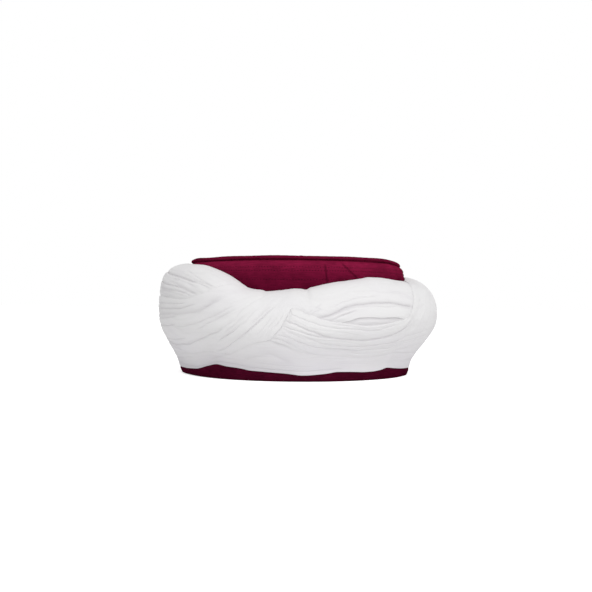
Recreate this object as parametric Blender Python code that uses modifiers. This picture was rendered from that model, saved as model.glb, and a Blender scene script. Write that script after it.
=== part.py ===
"""A ready-wound turban: pleated white cotton turns on a low maroon cap with a flat crown.

Metres, +Z up. The front faces -Y and the cap stands on its rim at z = 0. Lengths in the tables
are in millimetres. Everything is laid out round a circle and then squeezed in X to the oval of
a head.
"""

import math

import bpy
import numpy as np

MM = 0.001

# Driving dimensions of the cap
CAP_LENGTH = 189.0 * MM
CAP_WIDTH = 174.0 * MM
CAP_HEIGHT = 85.4 * MM
CAP_LEAN = 4.6 * MM
CLOTH_WALL = 2.5 * MM
PIPING_DIAMETER = 3.0 * MM
SHOULDER_RADIUS = 4.5 * MM
CROWN_RISE = 1.0 * MM
HEM_FLAT = 1.4 * MM
SEAM_INSET = 1.2 * MM
SEAM_LIP = 1.7 * MM
CROWN_BEVEL = 0.8 * MM
GAP = 0.3 * MM
CAP_STEPS = 36
# The wrap bulges more to +X, so the cap's axis lies a little to -X of the middle of the whole.
CAP_OFFSET = -1.9 * MM

# Driving dimensions of the wrap. Depths are measured from its outline towards a line inside it,
# which is drawn in towards the height of the belly by SPINE_PULL.
SPINE_PULL = 0.55
DEEPEST_SHARE = 0.9
LAYER_GAP = 0.6 * MM
UNDERSIDE_EASE = 0.4 * MM
EDGE_CLEARANCE = 0.008
EDGE_REACH = 0.02
POINT_SPACING = 0.6 * MM
INNER_POINTS = 6
# A pleat keeps its full height between these shares of its width, and a turn thins out from its
# middle to its edges over TAPER of its own width.
RIDGE = (0.28, 0.72)
TAPER = 0.3
# How quickly the pleats change from the depths of the -X side to those of the +X side.
SIDE_BLEND = 0.25
OUTLINE_POINTS = 60
UNDER_BELLY = 1.4

# How close together the wrap's sections lie, closest where one turn crosses another.
# Columns: from, to (azimuths in degrees), number of sections.
SPACING = (
    (-70.0, -30.0, 9),
    (-30.0, 9.6, 15),
    (9.6, 44.0, 8),
    (44.0, 70.0, 10),
    (70.0, 290.0, 22),
)

RADIUS = CAP_LENGTH / 2
SQUEEZE = CAP_WIDTH / CAP_LENGTH

# The outline of the whole wrap, a row for each section round the head. Azimuth 0 is the front
# and 90 the +X side, in degrees. The next four columns are in millimetres, and shoulder says how
# full the outline is above the belly: 2 is an ellipse, and more is boxier.
# Columns: azimuth, height of the lower edge, of the upper edge and of the belly, how far the belly
# stands out from the cap, shoulder.
SWELL = (
    (-165, 5.0, 78.5, 45, 21.5, 2.5),
    (-120, 5.0, 82.5, 46, 21.5, 3.2),
    (-90, 5.0, 84.0, 48, 22.4, 4.0),
    (-62, 6.2, 82.3, 46, 22.0, 3.4),
    (-48, 8.5, 80.0, 44, 22.0, 3.0),
    (-37, 10.0, 76.5, 42, 22.0, 2.8),
    (-20, 7.4, 65.3, 38, 22.0, 2.4),
    (-11, 6.0, 61.3, 36, 22.0, 2.3),
    (3, 4.3, 62.5, 37, 22.0, 2.2),
    (20, 6.0, 68.2, 40, 22.0, 2.2),
    (37, 6.2, 71.5, 43, 23.0, 2.1),
    (60, 5.6, 72.0, 45, 25.0, 1.95),
    (90, 3.5, 75.0, 46, 26.5, 1.82),
    (125, 4.5, 77.5, 46, 24.0, 2.1),
    (160, 5.0, 78.0, 45, 22.0, 2.4),
)

# Where each turn lies, as shares of the girth from the wrap's lower edge (0) to its upper edge (1).
# Columns: azimuth, lower edge, upper edge, first fold and last fold: the lines that the pleats run
# between, which a turn's edge may cut across.
SWEEP_COURSE = (
    (-170, 0.505, 1.00, 0.505, 1.00),
    (-150, 0.48, 1.00, 0.49, 1.00),
    (-90, 0.46, 1.00, 0.46, 1.02),
    (-68, 0.45, 1.00, 0.45, 0.99),
    (-50, 0.44, 1.00, 0.44, 0.96),
    (-38, 0.43, 1.00, 0.43, 0.93),
    (-28, 0.42, 0.95, 0.42, 0.88),
    (-18, 0.41, 0.84, 0.40, 0.82),
    (-8, 0.39, 0.74, 0.39, 0.74),
    (-2, 0.32, 0.66, 0.32, 0.66),
    (2, 0.28, 0.643, 0.28, 0.643),
    (9, 0.22, 0.565, 0.22, 0.565),
    (20, 0.17, 0.50, 0.17, 0.50),
    (29, 0.15, 0.467, 0.15, 0.467),
    (40, 0.165, 0.475, 0.165, 0.475),
    (46, 0.185, 0.50, 0.185, 0.50),
    (50, 0.20, 0.60, 0.20, 0.60),
    (56, 0.225, 0.78, 0.225, 0.78),
    (62, 0.25, 1.00, 0.25, 0.95),
    (75, 0.29, 1.00, 0.29, 1.00),
    (90, 0.33, 1.00, 0.33, 1.00),
    (120, 0.43, 1.00, 0.43, 1.00),
    (150, 0.47, 1.00, 0.47, 1.00),
    (170, 0.505, 1.00, 0.505, 1.00),
)

FAN_COURSE = (
    (-170, 0.20, 0.495, 0.20, 0.495),
    (-120, 0.18, 0.50, 0.16, 0.50),
    (-92, 0.16, 0.505, 0.10, 0.505),
    (-70, 0.15, 0.525, -0.05, 0.525),
    (-50, 0.14, 0.575, -0.18, 0.575),
    (-38, 0.135, 0.66, -0.16, 0.66),
    (-30, 0.14, 0.78, -0.10, 0.78),
    (-23, 0.225, 0.92, 0.02, 0.93),
    (-17, 0.32, 1.00, 0.15, 1.03),
    (-9.5, 0.395, 1.00, 0.38, 1.08),
    (-5.5, 0.54, 1.00, 0.54, 1.06),
    (-2, 0.672, 1.00, 0.67, 1.03),
    (2, 0.655, 1.00, 0.65, 1.00),
    (8, 0.54, 1.00, 0.52, 1.00),
    (14, 0.49, 1.00, 0.48, 1.00),
    (20, 0.505, 1.00, 0.50, 1.00),
    (27, 0.53, 1.00, 0.53, 1.00),
    (36, 0.52, 1.00, 0.52, 1.00),
    (46, 0.495, 1.00, 0.49, 1.00),
    (56, 0.47, 1.00, 0.46, 1.00),
    (70, 0.42, 0.95, 0.42, 0.95),
    (90, 0.34, 0.82, 0.34, 0.82),
    (115, 0.27, 0.66, 0.27, 0.66),
    (140, 0.22, 0.53, 0.22, 0.53),
    (170, 0.20, 0.495, 0.20, 0.495),
)

LOWER_COURSE = (
    (-150, 0.00, 0.56, 0.00, 0.56),
    (0, 0.00, 0.56, 0.00, 0.56),
)

# Columns: azimuth, lower edge, upper edge.
INNER_COURSE = (
    (-90, 0.26, 0.97),
    (-20, 0.28, 0.94),
    (20, 0.28, 0.94),
    (90, 0.26, 0.96),
)

# The valleys between pleats.
# Columns: share of the way across the turn, depth in millimetres on the -X side and on the +X side.
SWEEP_PLEATS = (
    (0.14, 0.8, 0.8),
    (0.26, 1.0, 1.2),
    (0.37, 1.6, 1.4),
    (0.56, 1.8, 2.4),
    (0.70, 1.8, 1.2),
    (0.84, 1.4, 2.0),
)
FAN_PLEATS = (
    (0.14, 1.2, 1.2),
    (0.28, 1.5, 2.2),
    (0.42, 1.2, 0.8),
    (0.55, 1.5, 0.8),
    (0.72, 1.0, 0.8),
    (0.87, 1.8, 0.8),
)
LOWER_PLEATS = (
    (0.16, 0.5, 0.5),
    (0.34, 0.8, 0.8),
    (0.60, 0.3, 0.3),
)

# Each turn: its course, its pleats, how thick it is at its lower edge, in its middle and at its upper
# edge, in millimetres, and how many points its underside has in a section.
TURNS = {
    "wrap_fan_turn": (FAN_COURSE, FAN_PLEATS, (2.2, 4.5, 1.8), 5),
    "wrap_sweep_turn": (SWEEP_COURSE, SWEEP_PLEATS, (1.8, 4.5, 3.0), 5),
    "wrap_lower_turn": (LOWER_COURSE, LOWER_PLEATS, (3.0, 3.5, 1.6), 4),
}
# The fan lies over the sweep from the back round the -X side to this azimuth, and under it after.
CROSSING = 0.0
BACK_CROSSING = 180.0

MAROON = (0.105, 0.007, 0.022, 1.0)
WHITE = (0.86, 0.86, 0.87, 1.0)


def clear_scene():
    for obj in list(bpy.data.objects):
        bpy.data.objects.remove(obj, do_unlink=True)


def make_collection(name):
    collection = bpy.data.collections.new(name)
    bpy.context.scene.collection.children.link(collection)
    return collection


def cloth_material(name, colour, roughness, sheen):
    material = bpy.data.materials.new(name)
    material.use_nodes = True
    shader = material.node_tree.nodes["Principled BSDF"]
    shader.inputs["Base Color"].default_value = colour
    shader.inputs["Roughness"].default_value = roughness
    shader.inputs["Sheen Weight"].default_value = sheen
    shader.inputs["Metallic"].default_value = 0.0
    material.diffuse_color = colour
    return material


def add_object(name, mesh, collection, material):
    obj = bpy.data.objects.new(name, mesh)
    collection.objects.link(obj)
    mesh.materials.append(material)
    mesh.shade_smooth()
    mesh.set_sharp_from_angle(angle=math.radians(50))
    return obj


def cap_radius(height):
    """Outer radius of the cap at a height, before the squeeze. It leans in towards the crown."""
    return RADIUS - CAP_LEAN * height / CAP_HEIGHT


def arc(centre_r, centre_z, radius, start, end, steps):
    """Points of an arc in the profile plane, with angles in degrees from straight out."""
    points = []
    for step in range(steps + 1):
        angle = math.radians(start + (end - start) * step / steps)
        points.append((centre_r + radius * math.cos(angle), centre_z + radius * math.sin(angle)))
    return points


def turned(name, profile, closed, collection, material):
    """A profile in the XZ plane, turned round the axis by a Screw and squeezed to the oval."""
    mesh = bpy.data.meshes.new(name)
    edges = [(i, i + 1) for i in range(len(profile) - 1)]
    if closed:
        edges.append((len(profile) - 1, 0))
    mesh.from_pydata([(r, 0.0, z) for r, z in profile], edges, [])
    obj = add_object(name, mesh, collection, material)
    screw = obj.modifiers.new("turn", "SCREW")
    screw.angle = math.radians(360)
    screw.steps = CAP_STEPS
    screw.render_steps = CAP_STEPS
    screw.use_merge_vertices = True
    screw.merge_threshold = 0.00001
    screw.use_smooth_shade = True
    obj.scale = (SQUEEZE, 1.0, 1.0)
    obj.location.x = CAP_OFFSET
    return obj


def shoulder_centre():
    """Centre of the arc by which the side band turns in under the crown."""
    top = CAP_HEIGHT - PIPING_DIAMETER - GAP
    return cap_radius(top) - SHOULDER_RADIUS, top - SHOULDER_RADIUS


def crown_seam():
    """Radius of the seam of crown and side band, where the piping runs."""
    return shoulder_centre()[0] + SEAM_INSET


def side_band_profile():
    """The cloth's outside from the crown seam down, round the folded hem, and its inside back up."""
    centre_r, centre_z = shoulder_centre()
    roll = (CLOTH_WALL - HEM_FLAT) / 2
    hem_r = RADIUS - roll
    lip = centre_r - SEAM_LIP
    outside = arc(centre_r, centre_z, SHOULDER_RADIUS, 90, 0, 3)
    folded = arc(hem_r, roll, roll, 0, -90, 2) + arc(hem_r - HEM_FLAT, roll, roll, -90, -180, 2)
    inside = arc(centre_r, centre_z, SHOULDER_RADIUS - CLOTH_WALL, 0, 90, 2)
    return [(lip, outside[0][1])] + outside + folded + inside + [(lip, inside[-1][1])]


def crown_profile():
    """The oval top panel, from the middle of its upper face to the middle of its lower face."""
    rim = crown_seam() - PIPING_DIAMETER / 2 - GAP
    floor = CAP_HEIGHT - PIPING_DIAMETER
    top = floor + CLOTH_WALL
    return [
        (0.0, top + CROWN_RISE),
        (rim * 0.6, top + CROWN_RISE * 0.7),
        (rim - CROWN_BEVEL, top),
        (rim, top - CROWN_BEVEL),
        (rim, floor),
        (rim * 0.6, floor + CROWN_RISE * 0.7),
        (0.0, floor + CROWN_RISE),
    ]


def build_cap(collection, maroon):
    turned("cap_side_band", side_band_profile(), True, collection, maroon)
    turned("cap_crown", crown_profile(), False, collection, maroon)
    bpy.ops.mesh.primitive_torus_add(
        major_radius=crown_seam(),
        minor_radius=PIPING_DIAMETER / 2,
        major_segments=CAP_STEPS,
        minor_segments=6,
        location=(CAP_OFFSET, 0.0, CAP_HEIGHT - PIPING_DIAMETER / 2),
    )
    piping = bpy.context.active_object
    piping.name = "crown_piping"
    piping.scale = (SQUEEZE, 1.0, 1.0)
    piping.data.materials.append(maroon)
    piping.data.shade_smooth()
    for owner in list(piping.users_collection):
        owner.objects.unlink(piping)
    collection.objects.link(piping)


def column(rows, index, azimuth):
    """A table's column at any azimuth: smooth round the head, and never past the rows' values."""
    count = len(rows)
    knots = [row[0] for row in rows]
    values = [row[index] for row in rows]
    azimuth = (azimuth - knots[0]) % 360.0 + knots[0]
    at = max(k for k in range(count) if knots[k] <= azimuth)

    def knot(k):
        return knots[k % count] + 360.0 * (k // count)

    def rise(k):
        return (values[(k + 1) % count] - values[k % count]) / (knot(k + 1) - knot(k))

    def slope(k):
        before = rise(k - 1)
        after = rise(k)
        if before * after <= 0.0:
            return 0.0
        return 2.0 * before * after / (before + after)

    width = knot(at + 1) - knot(at)
    t = (azimuth - knot(at)) / width
    start = values[at]
    end = values[(at + 1) % count]
    bend = width * ((t**3 - 2 * t**2 + t) * slope(at) + (t**3 - t**2) * slope(at + 1))
    return (2 * t**3 - 3 * t**2 + 1) * start + (3 * t**2 - 2 * t**3) * end + bend


class Section:
    """The wrap's outline at one azimuth, and the line inside it that depths are measured to."""

    def __init__(self, azimuth):
        self.azimuth = azimuth
        lower, upper, belly, out, shoulder = (
            column(SWELL, index, azimuth) for index in range(1, 6)
        )
        t = np.linspace(0.0, 1.0, OUTLINE_POINTS)
        ease = np.sin(np.pi / 2 * t)
        height = np.concatenate([lower + (belly - lower) * t, belly + (upper - belly) * ease[1:]])
        under = ease**UNDER_BELLY
        stand = out * np.concatenate([under, np.sqrt(1 - ease[1:] ** shoulder)])
        self.height = height * MM
        self.radius = cap_radius(self.height) + GAP + stand * MM
        steps = np.hypot(np.diff(self.radius), np.diff(self.height))
        run = np.concatenate([[0.0], np.cumsum(steps)])
        self.girth = run[-1]
        self.share = run / self.girth
        self.belly = belly * MM

    def point(self, share, depth):
        """World place of a point at a share of the girth and a depth under the outline."""
        radius = np.interp(share, self.share, self.radius)
        height = np.interp(share, self.share, self.height)
        spine_z = self.belly + SPINE_PULL * (height - self.belly)
        spine_r = cap_radius(spine_z) + GAP
        reach = np.hypot(spine_r - radius, spine_z - height)
        inward = np.minimum(depth / reach, DEEPEST_SHARE)
        radius = radius + (spine_r - radius) * inward
        height = height + (spine_z - height) * inward
        turn = math.radians(self.azimuth)
        x = CAP_OFFSET + SQUEEZE * radius * math.sin(turn)
        y = -radius * math.cos(turn)
        return np.stack([x, y, height], axis=-1)


def stations():
    """Azimuths of the sections, all the way round."""
    azimuths = []
    for start, end, count in SPACING:
        azimuths += [start + (end - start) * number / count for number in range(count)]
    return azimuths


def thickness_at(across, edges_and_middle):
    """How thick a turn is at each share of the way across it."""
    low, middle, high = (value * MM for value in edges_and_middle)
    rise = np.clip(across / TAPER, 0.0, 1.0)
    fall = np.clip((1.0 - across) / TAPER, 0.0, 1.0)
    return np.minimum(low + (middle - low) * rise, high + (middle - high) * fall)


def surface_points(turn, section):
    """Low and high edge of a turn at a section, the shares of its outer points, valley depths."""
    course, pleats, thickness, _ = TURNS[turn]
    low, high, first, last = (column(course, index, section.azimuth) for index in range(1, 5))
    sideways = math.sin(math.radians(section.azimuth))
    rightness = 0.5 + 0.5 * sideways / (SIDE_BLEND + abs(sideways))
    across = []
    depths = []
    ends = [0.0] + [row[0] for row in pleats] + [1.0]
    for number in range(len(ends) - 1):
        width = ends[number + 1] - ends[number]
        across += [ends[number] + share * width for share in RIDGE]
        depths += [0.0, 0.0]
        if number < len(pleats):
            left, right = pleats[number][1:]
            across.append(ends[number + 1])
            depths.append((left + (right - left) * rightness) * MM)
    shares = first + np.array(across) * (last - first)
    least = POINT_SPACING / section.girth
    order = np.arange(len(shares))
    low_roll = 0.5 * thickness[0] * MM / section.girth
    high_roll = 0.5 * thickness[2] * MM / section.girth
    shares = np.clip(shares, low + low_roll + least * order, high - high_roll - least * order[::-1])
    return low, high, shares, np.array(depths)


class Layers:
    """The turns laid on each other from the outside in, at every section round the head.

    A row holds a turn's low and high edge, the shares of its outer points, their depths under the
    wrap's outline, and the depths of its underside there.
    """

    def __init__(self, sections):
        self.sections = sections
        self.count = len(sections)
        self.rows = {
            turn: [[*surface_points(turn, section), None] for section in sections]
            for turn in TURNS
        }
        for index in range(self.count):
            self.lay(self.outermost(index), index, ())
        for index in range(self.count):
            outer = self.outermost(index)
            inner = "wrap_sweep_turn" if outer == "wrap_fan_turn" else "wrap_fan_turn"
            self.lay(inner, index, (outer,))
        for index in range(self.count):
            self.lay("wrap_lower_turn", index, ("wrap_fan_turn", "wrap_sweep_turn"))

    def outermost(self, index):
        """The fan lies on the sweep round the -X side, and the sweep on the fan round the +X side."""
        past = (self.sections[index].azimuth - CROSSING) % 360.0
        return "wrap_fan_turn" if past > BACK_CROSSING - CROSSING else "wrap_sweep_turn"

    def reach(self, turn, index, shares):
        """How deep a turn reaches at some shares of a section, and 0 where it doesn't lie."""
        low, high, outer_shares, _, underside = self.rows[turn][index % self.count]
        if underside is None:
            return np.zeros(len(shares))
        inside = (shares > low - EDGE_CLEARANCE) & (shares < high + EDGE_CLEARANCE)
        return np.where(inside, np.interp(shares, outer_shares, underside), 0.0)

    def cover(self, turns, index, shares):
        """Deepest reach of some turns between each point's neighbours, at the sections beside it too."""
        before = np.concatenate([[shares[0] - EDGE_REACH], shares[:-1]])
        after = np.concatenate([shares[1:], [shares[-1] + EDGE_REACH]])
        deepest = np.zeros(len(shares))
        for part in np.linspace(0.0, 1.0, 5):
            for end in (before, after):
                places = shares + (end - shares) * part
                for near in (index - 1, index, index + 1):
                    for turn in turns:
                        deepest = np.maximum(deepest, self.reach(turn, near, places))
        return deepest

    def lay(self, turn, index, above):
        """Lays one turn at one section under the turns above it."""
        row = self.rows[turn][index]
        shares = row[2]
        cover = self.cover(above, index, shares)
        rest = np.where(cover > 0.0, cover + LAYER_GAP, 0.0)
        across = (shares - row[0]) / (row[1] - row[0])
        row[3] = np.maximum(row[3], rest)
        row[4] = rest + thickness_at(across, TURNS[turn][2])


def ring_mesh(name, rings):
    """A closed ring lofted through sections that have the same number of points each."""
    count = len(rings)
    size = len(rings[0])
    vertices = [tuple(point) for ring in rings for point in ring]
    faces = []
    for i in range(count):
        for j in range(size):
            here = i * size
            after = (i + 1) % count * size
            up = (j + 1) % size
            faces.append((here + j, after + j, after + up, here + up))
    mesh = bpy.data.meshes.new(name)
    mesh.from_pydata(vertices, [], faces)
    return mesh


def turn_ring(turn, section, row):
    """One section of a turn: its outer points from low to high, a rolled edge, its inner points."""
    low, high, shares, outer, underside = row
    _, _, thickness, under = TURNS[turn]
    low_depth = outer[0] + 0.5 * thickness[0] * MM
    high_depth = outer[-1] + 0.5 * thickness[2] * MM
    inner_shares = np.linspace(shares[0], shares[-1], under)
    inner = np.interp(inner_shares, shares, underside) - UNDERSIDE_EASE
    ring_shares = np.concatenate([[low], shares, [high], inner_shares[::-1]])
    ring_depths = np.concatenate([[low_depth], outer, [high_depth], inner[::-1]])
    return section.point(ring_shares, ring_depths)


def inner_ring(layers, index):
    """One section of the wound core: under every turn, and flat against the cap."""
    section = layers.sections[index]
    low, high = (column(INNER_COURSE, k, section.azimuth) for k in (1, 2))
    shares = np.linspace(low, high, INNER_POINTS)
    outer = section.point(shares, layers.cover(list(TURNS), index, shares) + 2 * LAYER_GAP)
    against_cap = section.point(shares[[-1, 0]], np.ones(2))
    return np.concatenate([outer, against_cap])


def build_wrap(collection, white):
    sections = [Section(azimuth) for azimuth in stations()]
    layers = Layers(sections)
    for turn in TURNS:
        rings = [turn_ring(turn, sections[i], layers.rows[turn][i]) for i in range(len(sections))]
        add_object(turn, ring_mesh(turn, rings), collection, white)
    rings = [inner_ring(layers, i) for i in range(len(sections))]
    add_object("wrap_inner_turns", ring_mesh("wrap_inner_turns", rings), collection, white)


def main():
    clear_scene()
    parts = make_collection("wrapped_turban")
    maroon = cloth_material("maroon_cotton", MAROON, 0.85, 0.3)
    white = cloth_material("white_voile", WHITE, 0.9, 0.2)
    build_cap(parts, maroon)
    build_wrap(parts, white)


main()
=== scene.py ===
# %% [markdown]
# # A turban wound on a cap
# The real object is a ready-made turban. A long strip of thin white cotton is gathered into
# pleats and wound round a low maroon cap. Two broad turns cross at the front: one fans out from
# the top of the crossing over the left, the other sweeps under it and away in arcs to the right.
#
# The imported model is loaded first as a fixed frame, in metres, with the front towards -Y. Every
# piece made below takes the place of one of its nodes, or lies on one.

# %% Load the frame
import math

import bmesh
import bpy
import numpy as np
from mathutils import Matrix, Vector


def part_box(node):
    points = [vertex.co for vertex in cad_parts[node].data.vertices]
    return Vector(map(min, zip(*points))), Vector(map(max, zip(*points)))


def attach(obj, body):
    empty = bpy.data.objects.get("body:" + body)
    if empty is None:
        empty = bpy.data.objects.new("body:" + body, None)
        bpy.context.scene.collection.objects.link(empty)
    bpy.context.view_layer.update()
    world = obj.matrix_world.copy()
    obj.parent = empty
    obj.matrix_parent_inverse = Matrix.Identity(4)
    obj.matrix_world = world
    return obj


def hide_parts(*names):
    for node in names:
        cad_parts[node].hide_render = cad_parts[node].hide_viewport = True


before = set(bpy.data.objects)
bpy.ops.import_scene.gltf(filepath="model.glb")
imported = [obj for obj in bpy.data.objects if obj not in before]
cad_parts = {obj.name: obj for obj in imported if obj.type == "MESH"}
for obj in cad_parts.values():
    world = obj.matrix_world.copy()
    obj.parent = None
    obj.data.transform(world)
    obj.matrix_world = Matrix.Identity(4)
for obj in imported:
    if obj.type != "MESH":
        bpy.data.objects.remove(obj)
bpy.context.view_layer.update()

MM = 0.001
BODY = "root"
BAND_LOW, BAND_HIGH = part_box("cap_side_band")
PIPING_LOW, PIPING_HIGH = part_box("crown_piping")
CROWN_LOW, CROWN_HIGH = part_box("cap_crown")
CAP_X = (BAND_LOW.x + BAND_HIGH.x) / 2
RADIUS = (BAND_HIGH.y - BAND_LOW.y) / 2
SQUEEZE = (BAND_HIGH.x - BAND_LOW.x) / (BAND_HIGH.y - BAND_LOW.y)
print("nodes", sorted(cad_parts))
print("the cap's oval is", round(2 * RADIUS / MM, 1), "mm long,", round(SQUEEZE, 4), "as wide")

# %% [markdown]
# The camera stands level in front, a little over two thirds of a metre from the cap's axis and
# about half way up the turban. A small lens shift frames it without tilting the camera up or
# down, so that upright edges stay nearly upright; the camera is rolled by half a degree.

# %% Camera
PICTURE = 592
FOCAL_PIXELS = 878.0
AXIS_PIXEL = 295.0
HORIZON_PIXEL = 306.4
CAMERA_DISTANCE = 0.684
CAMERA_HEIGHT = 0.0507
CAMERA_ROLL = 0.5

camera = bpy.data.objects.new("camera", bpy.data.cameras.new("camera"))
bpy.context.scene.collection.objects.link(camera)
bpy.context.scene.camera = camera
camera.location = (CAP_X, -CAMERA_DISTANCE, CAMERA_HEIGHT)
camera.rotation_euler = (math.radians(90), -math.radians(CAMERA_ROLL), 0.0)
camera.data.sensor_width = 36.0
camera.data.lens = FOCAL_PIXELS / PICTURE * camera.data.sensor_width
camera.data.shift_x = (PICTURE / 2 - AXIS_PIXEL) / PICTURE
camera.data.shift_y = (HORIZON_PIXEL - PICTURE / 2) / PICTURE
camera.data.clip_start = 0.01
print("lens", round(camera.data.lens, 1), "mm")

# %% [markdown]
# White cloth on a white ground needs soft light from nearly everywhere, or its folds turn black.
# An even pale sky fills the shadows, and one very wide lamp from above the front right gives the
# folds their shape. The floor is a plain pale plane.

# %% Floor and light
FLOOR_SIZE = 40.0
FLOOR_COLOUR = (0.88, 0.88, 0.88, 1.0)
FLOOR_GLOW = 0.08
FLOOR_GLOW_SEEN = 0.6
SKY_STRENGTH = 0.60
LAMP_STRENGTH = 1.5
LAMP_WIDTH = math.radians(60)
LAMP_TURN = (math.radians(42), 0.0, math.radians(21))

bpy.context.scene.view_settings.view_transform = "Standard"


def link_nodes(tree, *pairs):
    for source, target in pairs:
        tree.links.new(source, target)


def make_floor():
    bpy.ops.mesh.primitive_plane_add(size=FLOOR_SIZE)
    floor = bpy.context.active_object
    floor.name = "floor"
    material = bpy.data.materials.new("pale_floor")
    material.use_nodes = True
    shader = material.node_tree.nodes["Principled BSDF"]
    shader.inputs["Base Color"].default_value = FLOOR_COLOUR
    shader.inputs["Roughness"].default_value = 1.0
    shader.inputs["Specular IOR Level"].default_value = 0.0
    path = material.node_tree.nodes.new("ShaderNodeLightPath")
    glow = material.node_tree.nodes.new("ShaderNodeMath")
    glow.operation = "MULTIPLY_ADD"
    glow.inputs[1].default_value = FLOOR_GLOW_SEEN
    glow.inputs[2].default_value = FLOOR_GLOW
    shader.inputs["Emission Color"].default_value = (1.0, 1.0, 1.0, 1.0)
    link_nodes(
        material.node_tree,
        (path.outputs["Is Camera Ray"], glow.inputs[0]),
        (glow.outputs["Value"], shader.inputs["Emission Strength"]),
    )
    floor.data.materials.append(material)


def make_sky():
    """An even sky that lights softly, behind which the eye sees plain white."""
    world = bpy.data.worlds.new("pale_sky")
    bpy.context.scene.world = world
    world.use_nodes = True
    tree = world.node_tree
    tree.nodes.clear()
    light = tree.nodes.new("ShaderNodeBackground")
    light.inputs["Strength"].default_value = SKY_STRENGTH
    seen = tree.nodes.new("ShaderNodeBackground")
    seen.inputs["Color"].default_value = (1.0, 1.0, 1.0, 1.0)
    path = tree.nodes.new("ShaderNodeLightPath")
    mix = tree.nodes.new("ShaderNodeMixShader")
    out = tree.nodes.new("ShaderNodeOutputWorld")
    link_nodes(
        tree,
        (path.outputs["Is Camera Ray"], mix.inputs["Fac"]),
        (light.outputs["Background"], mix.inputs[1]),
        (seen.outputs["Background"], mix.inputs[2]),
        (mix.outputs["Shader"], out.inputs["Surface"]),
    )


def make_lamp():
    lamp = bpy.data.objects.new("wide_lamp", bpy.data.lights.new("wide_lamp", "SUN"))
    lamp.data.energy = LAMP_STRENGTH
    lamp.data.angle = LAMP_WIDTH
    lamp.rotation_euler = LAMP_TURN
    bpy.context.scene.collection.objects.link(lamp)


bpy.ops.object.select_all(action="DESELECT")
make_floor()
make_sky()
make_lamp()
print("floor, sky and lamp are set")

# %% [markdown]
# The cap is maroon cotton. Its colour isn't flat: threads run round the band in slightly lighter
# and darker slubs, and raised places are a little worn. Both come from noise that is stretched
# along the cloth's own UV map, which is in metres, so a thread keeps its real size anywhere. Its
# tone also changes with height, and that is painted light and shade: darker at the hem and low
# on the band, in the wrap's shade, and lighter near the top, where the light from above falls.

# %% Maroon cotton
MAROON = (0.146, 0.0056, 0.0290, 1.0)
MAROON_LIT_TOP = (0.215, 0.0095, 0.0430, 1.0)
MAROON_LOW_SHADED = (0.092, 0.0028, 0.0180, 1.0)
MAROON_HEM_SHADED = (0.064, 0.0031, 0.0150, 1.0)
# Heights in metres and the tone of the cloth there. The tones are painted light and shade: the
# hem and the low band are darker where the wrap shades them, and the top is lighter where the
# light from above falls on it.
MAROON_PAINTED_SHADING = (
    (0.008, MAROON_HEM_SHADED),
    (0.014, MAROON_LOW_SHADED),
    (0.060, MAROON_LOW_SHADED),
    (0.072, MAROON),
    (0.079, MAROON_LIT_TOP),
    (0.0815, MAROON_LIT_TOP),
    (0.0848, MAROON),
)
TALLEST = 0.09
MAROON_THREADS_PER_METRE = 1900.0
SLUB_STRETCH = (150.0, 1500.0, 1.0)
WORN_PATCHES_PER_METRE = 60.0
DARKER = (0.84, 0.84, 0.84, 1.0)
LIGHTER = (1.14, 1.14, 1.14, 1.0)
# The band's seam, which leans a little, and a slanted crease: azimuth in degrees, height in
# metres.
SEAM = ((18.0, 0.03), (13.9, 0.081))
CREASE = ((22.0, 0.0812), (32.0, 0.0688))
LINE_WIDTH = 0.0012
LINE_DEPTH = 0.0004
# Painted shade: the seam and the crease are darkened along their lines, as in their grooves.
LINE_SHADE = (0.58, 0.58, 0.58, 1.0)
MAROON_WEAVE_DEPTH = 0.00006
SLUB_DEPTH = 0.00015
THREAD_WANDER = 0.6
# A wave texture counts its ridges in this unit.
WAVE_UNIT = 2 * math.pi / 20


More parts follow.
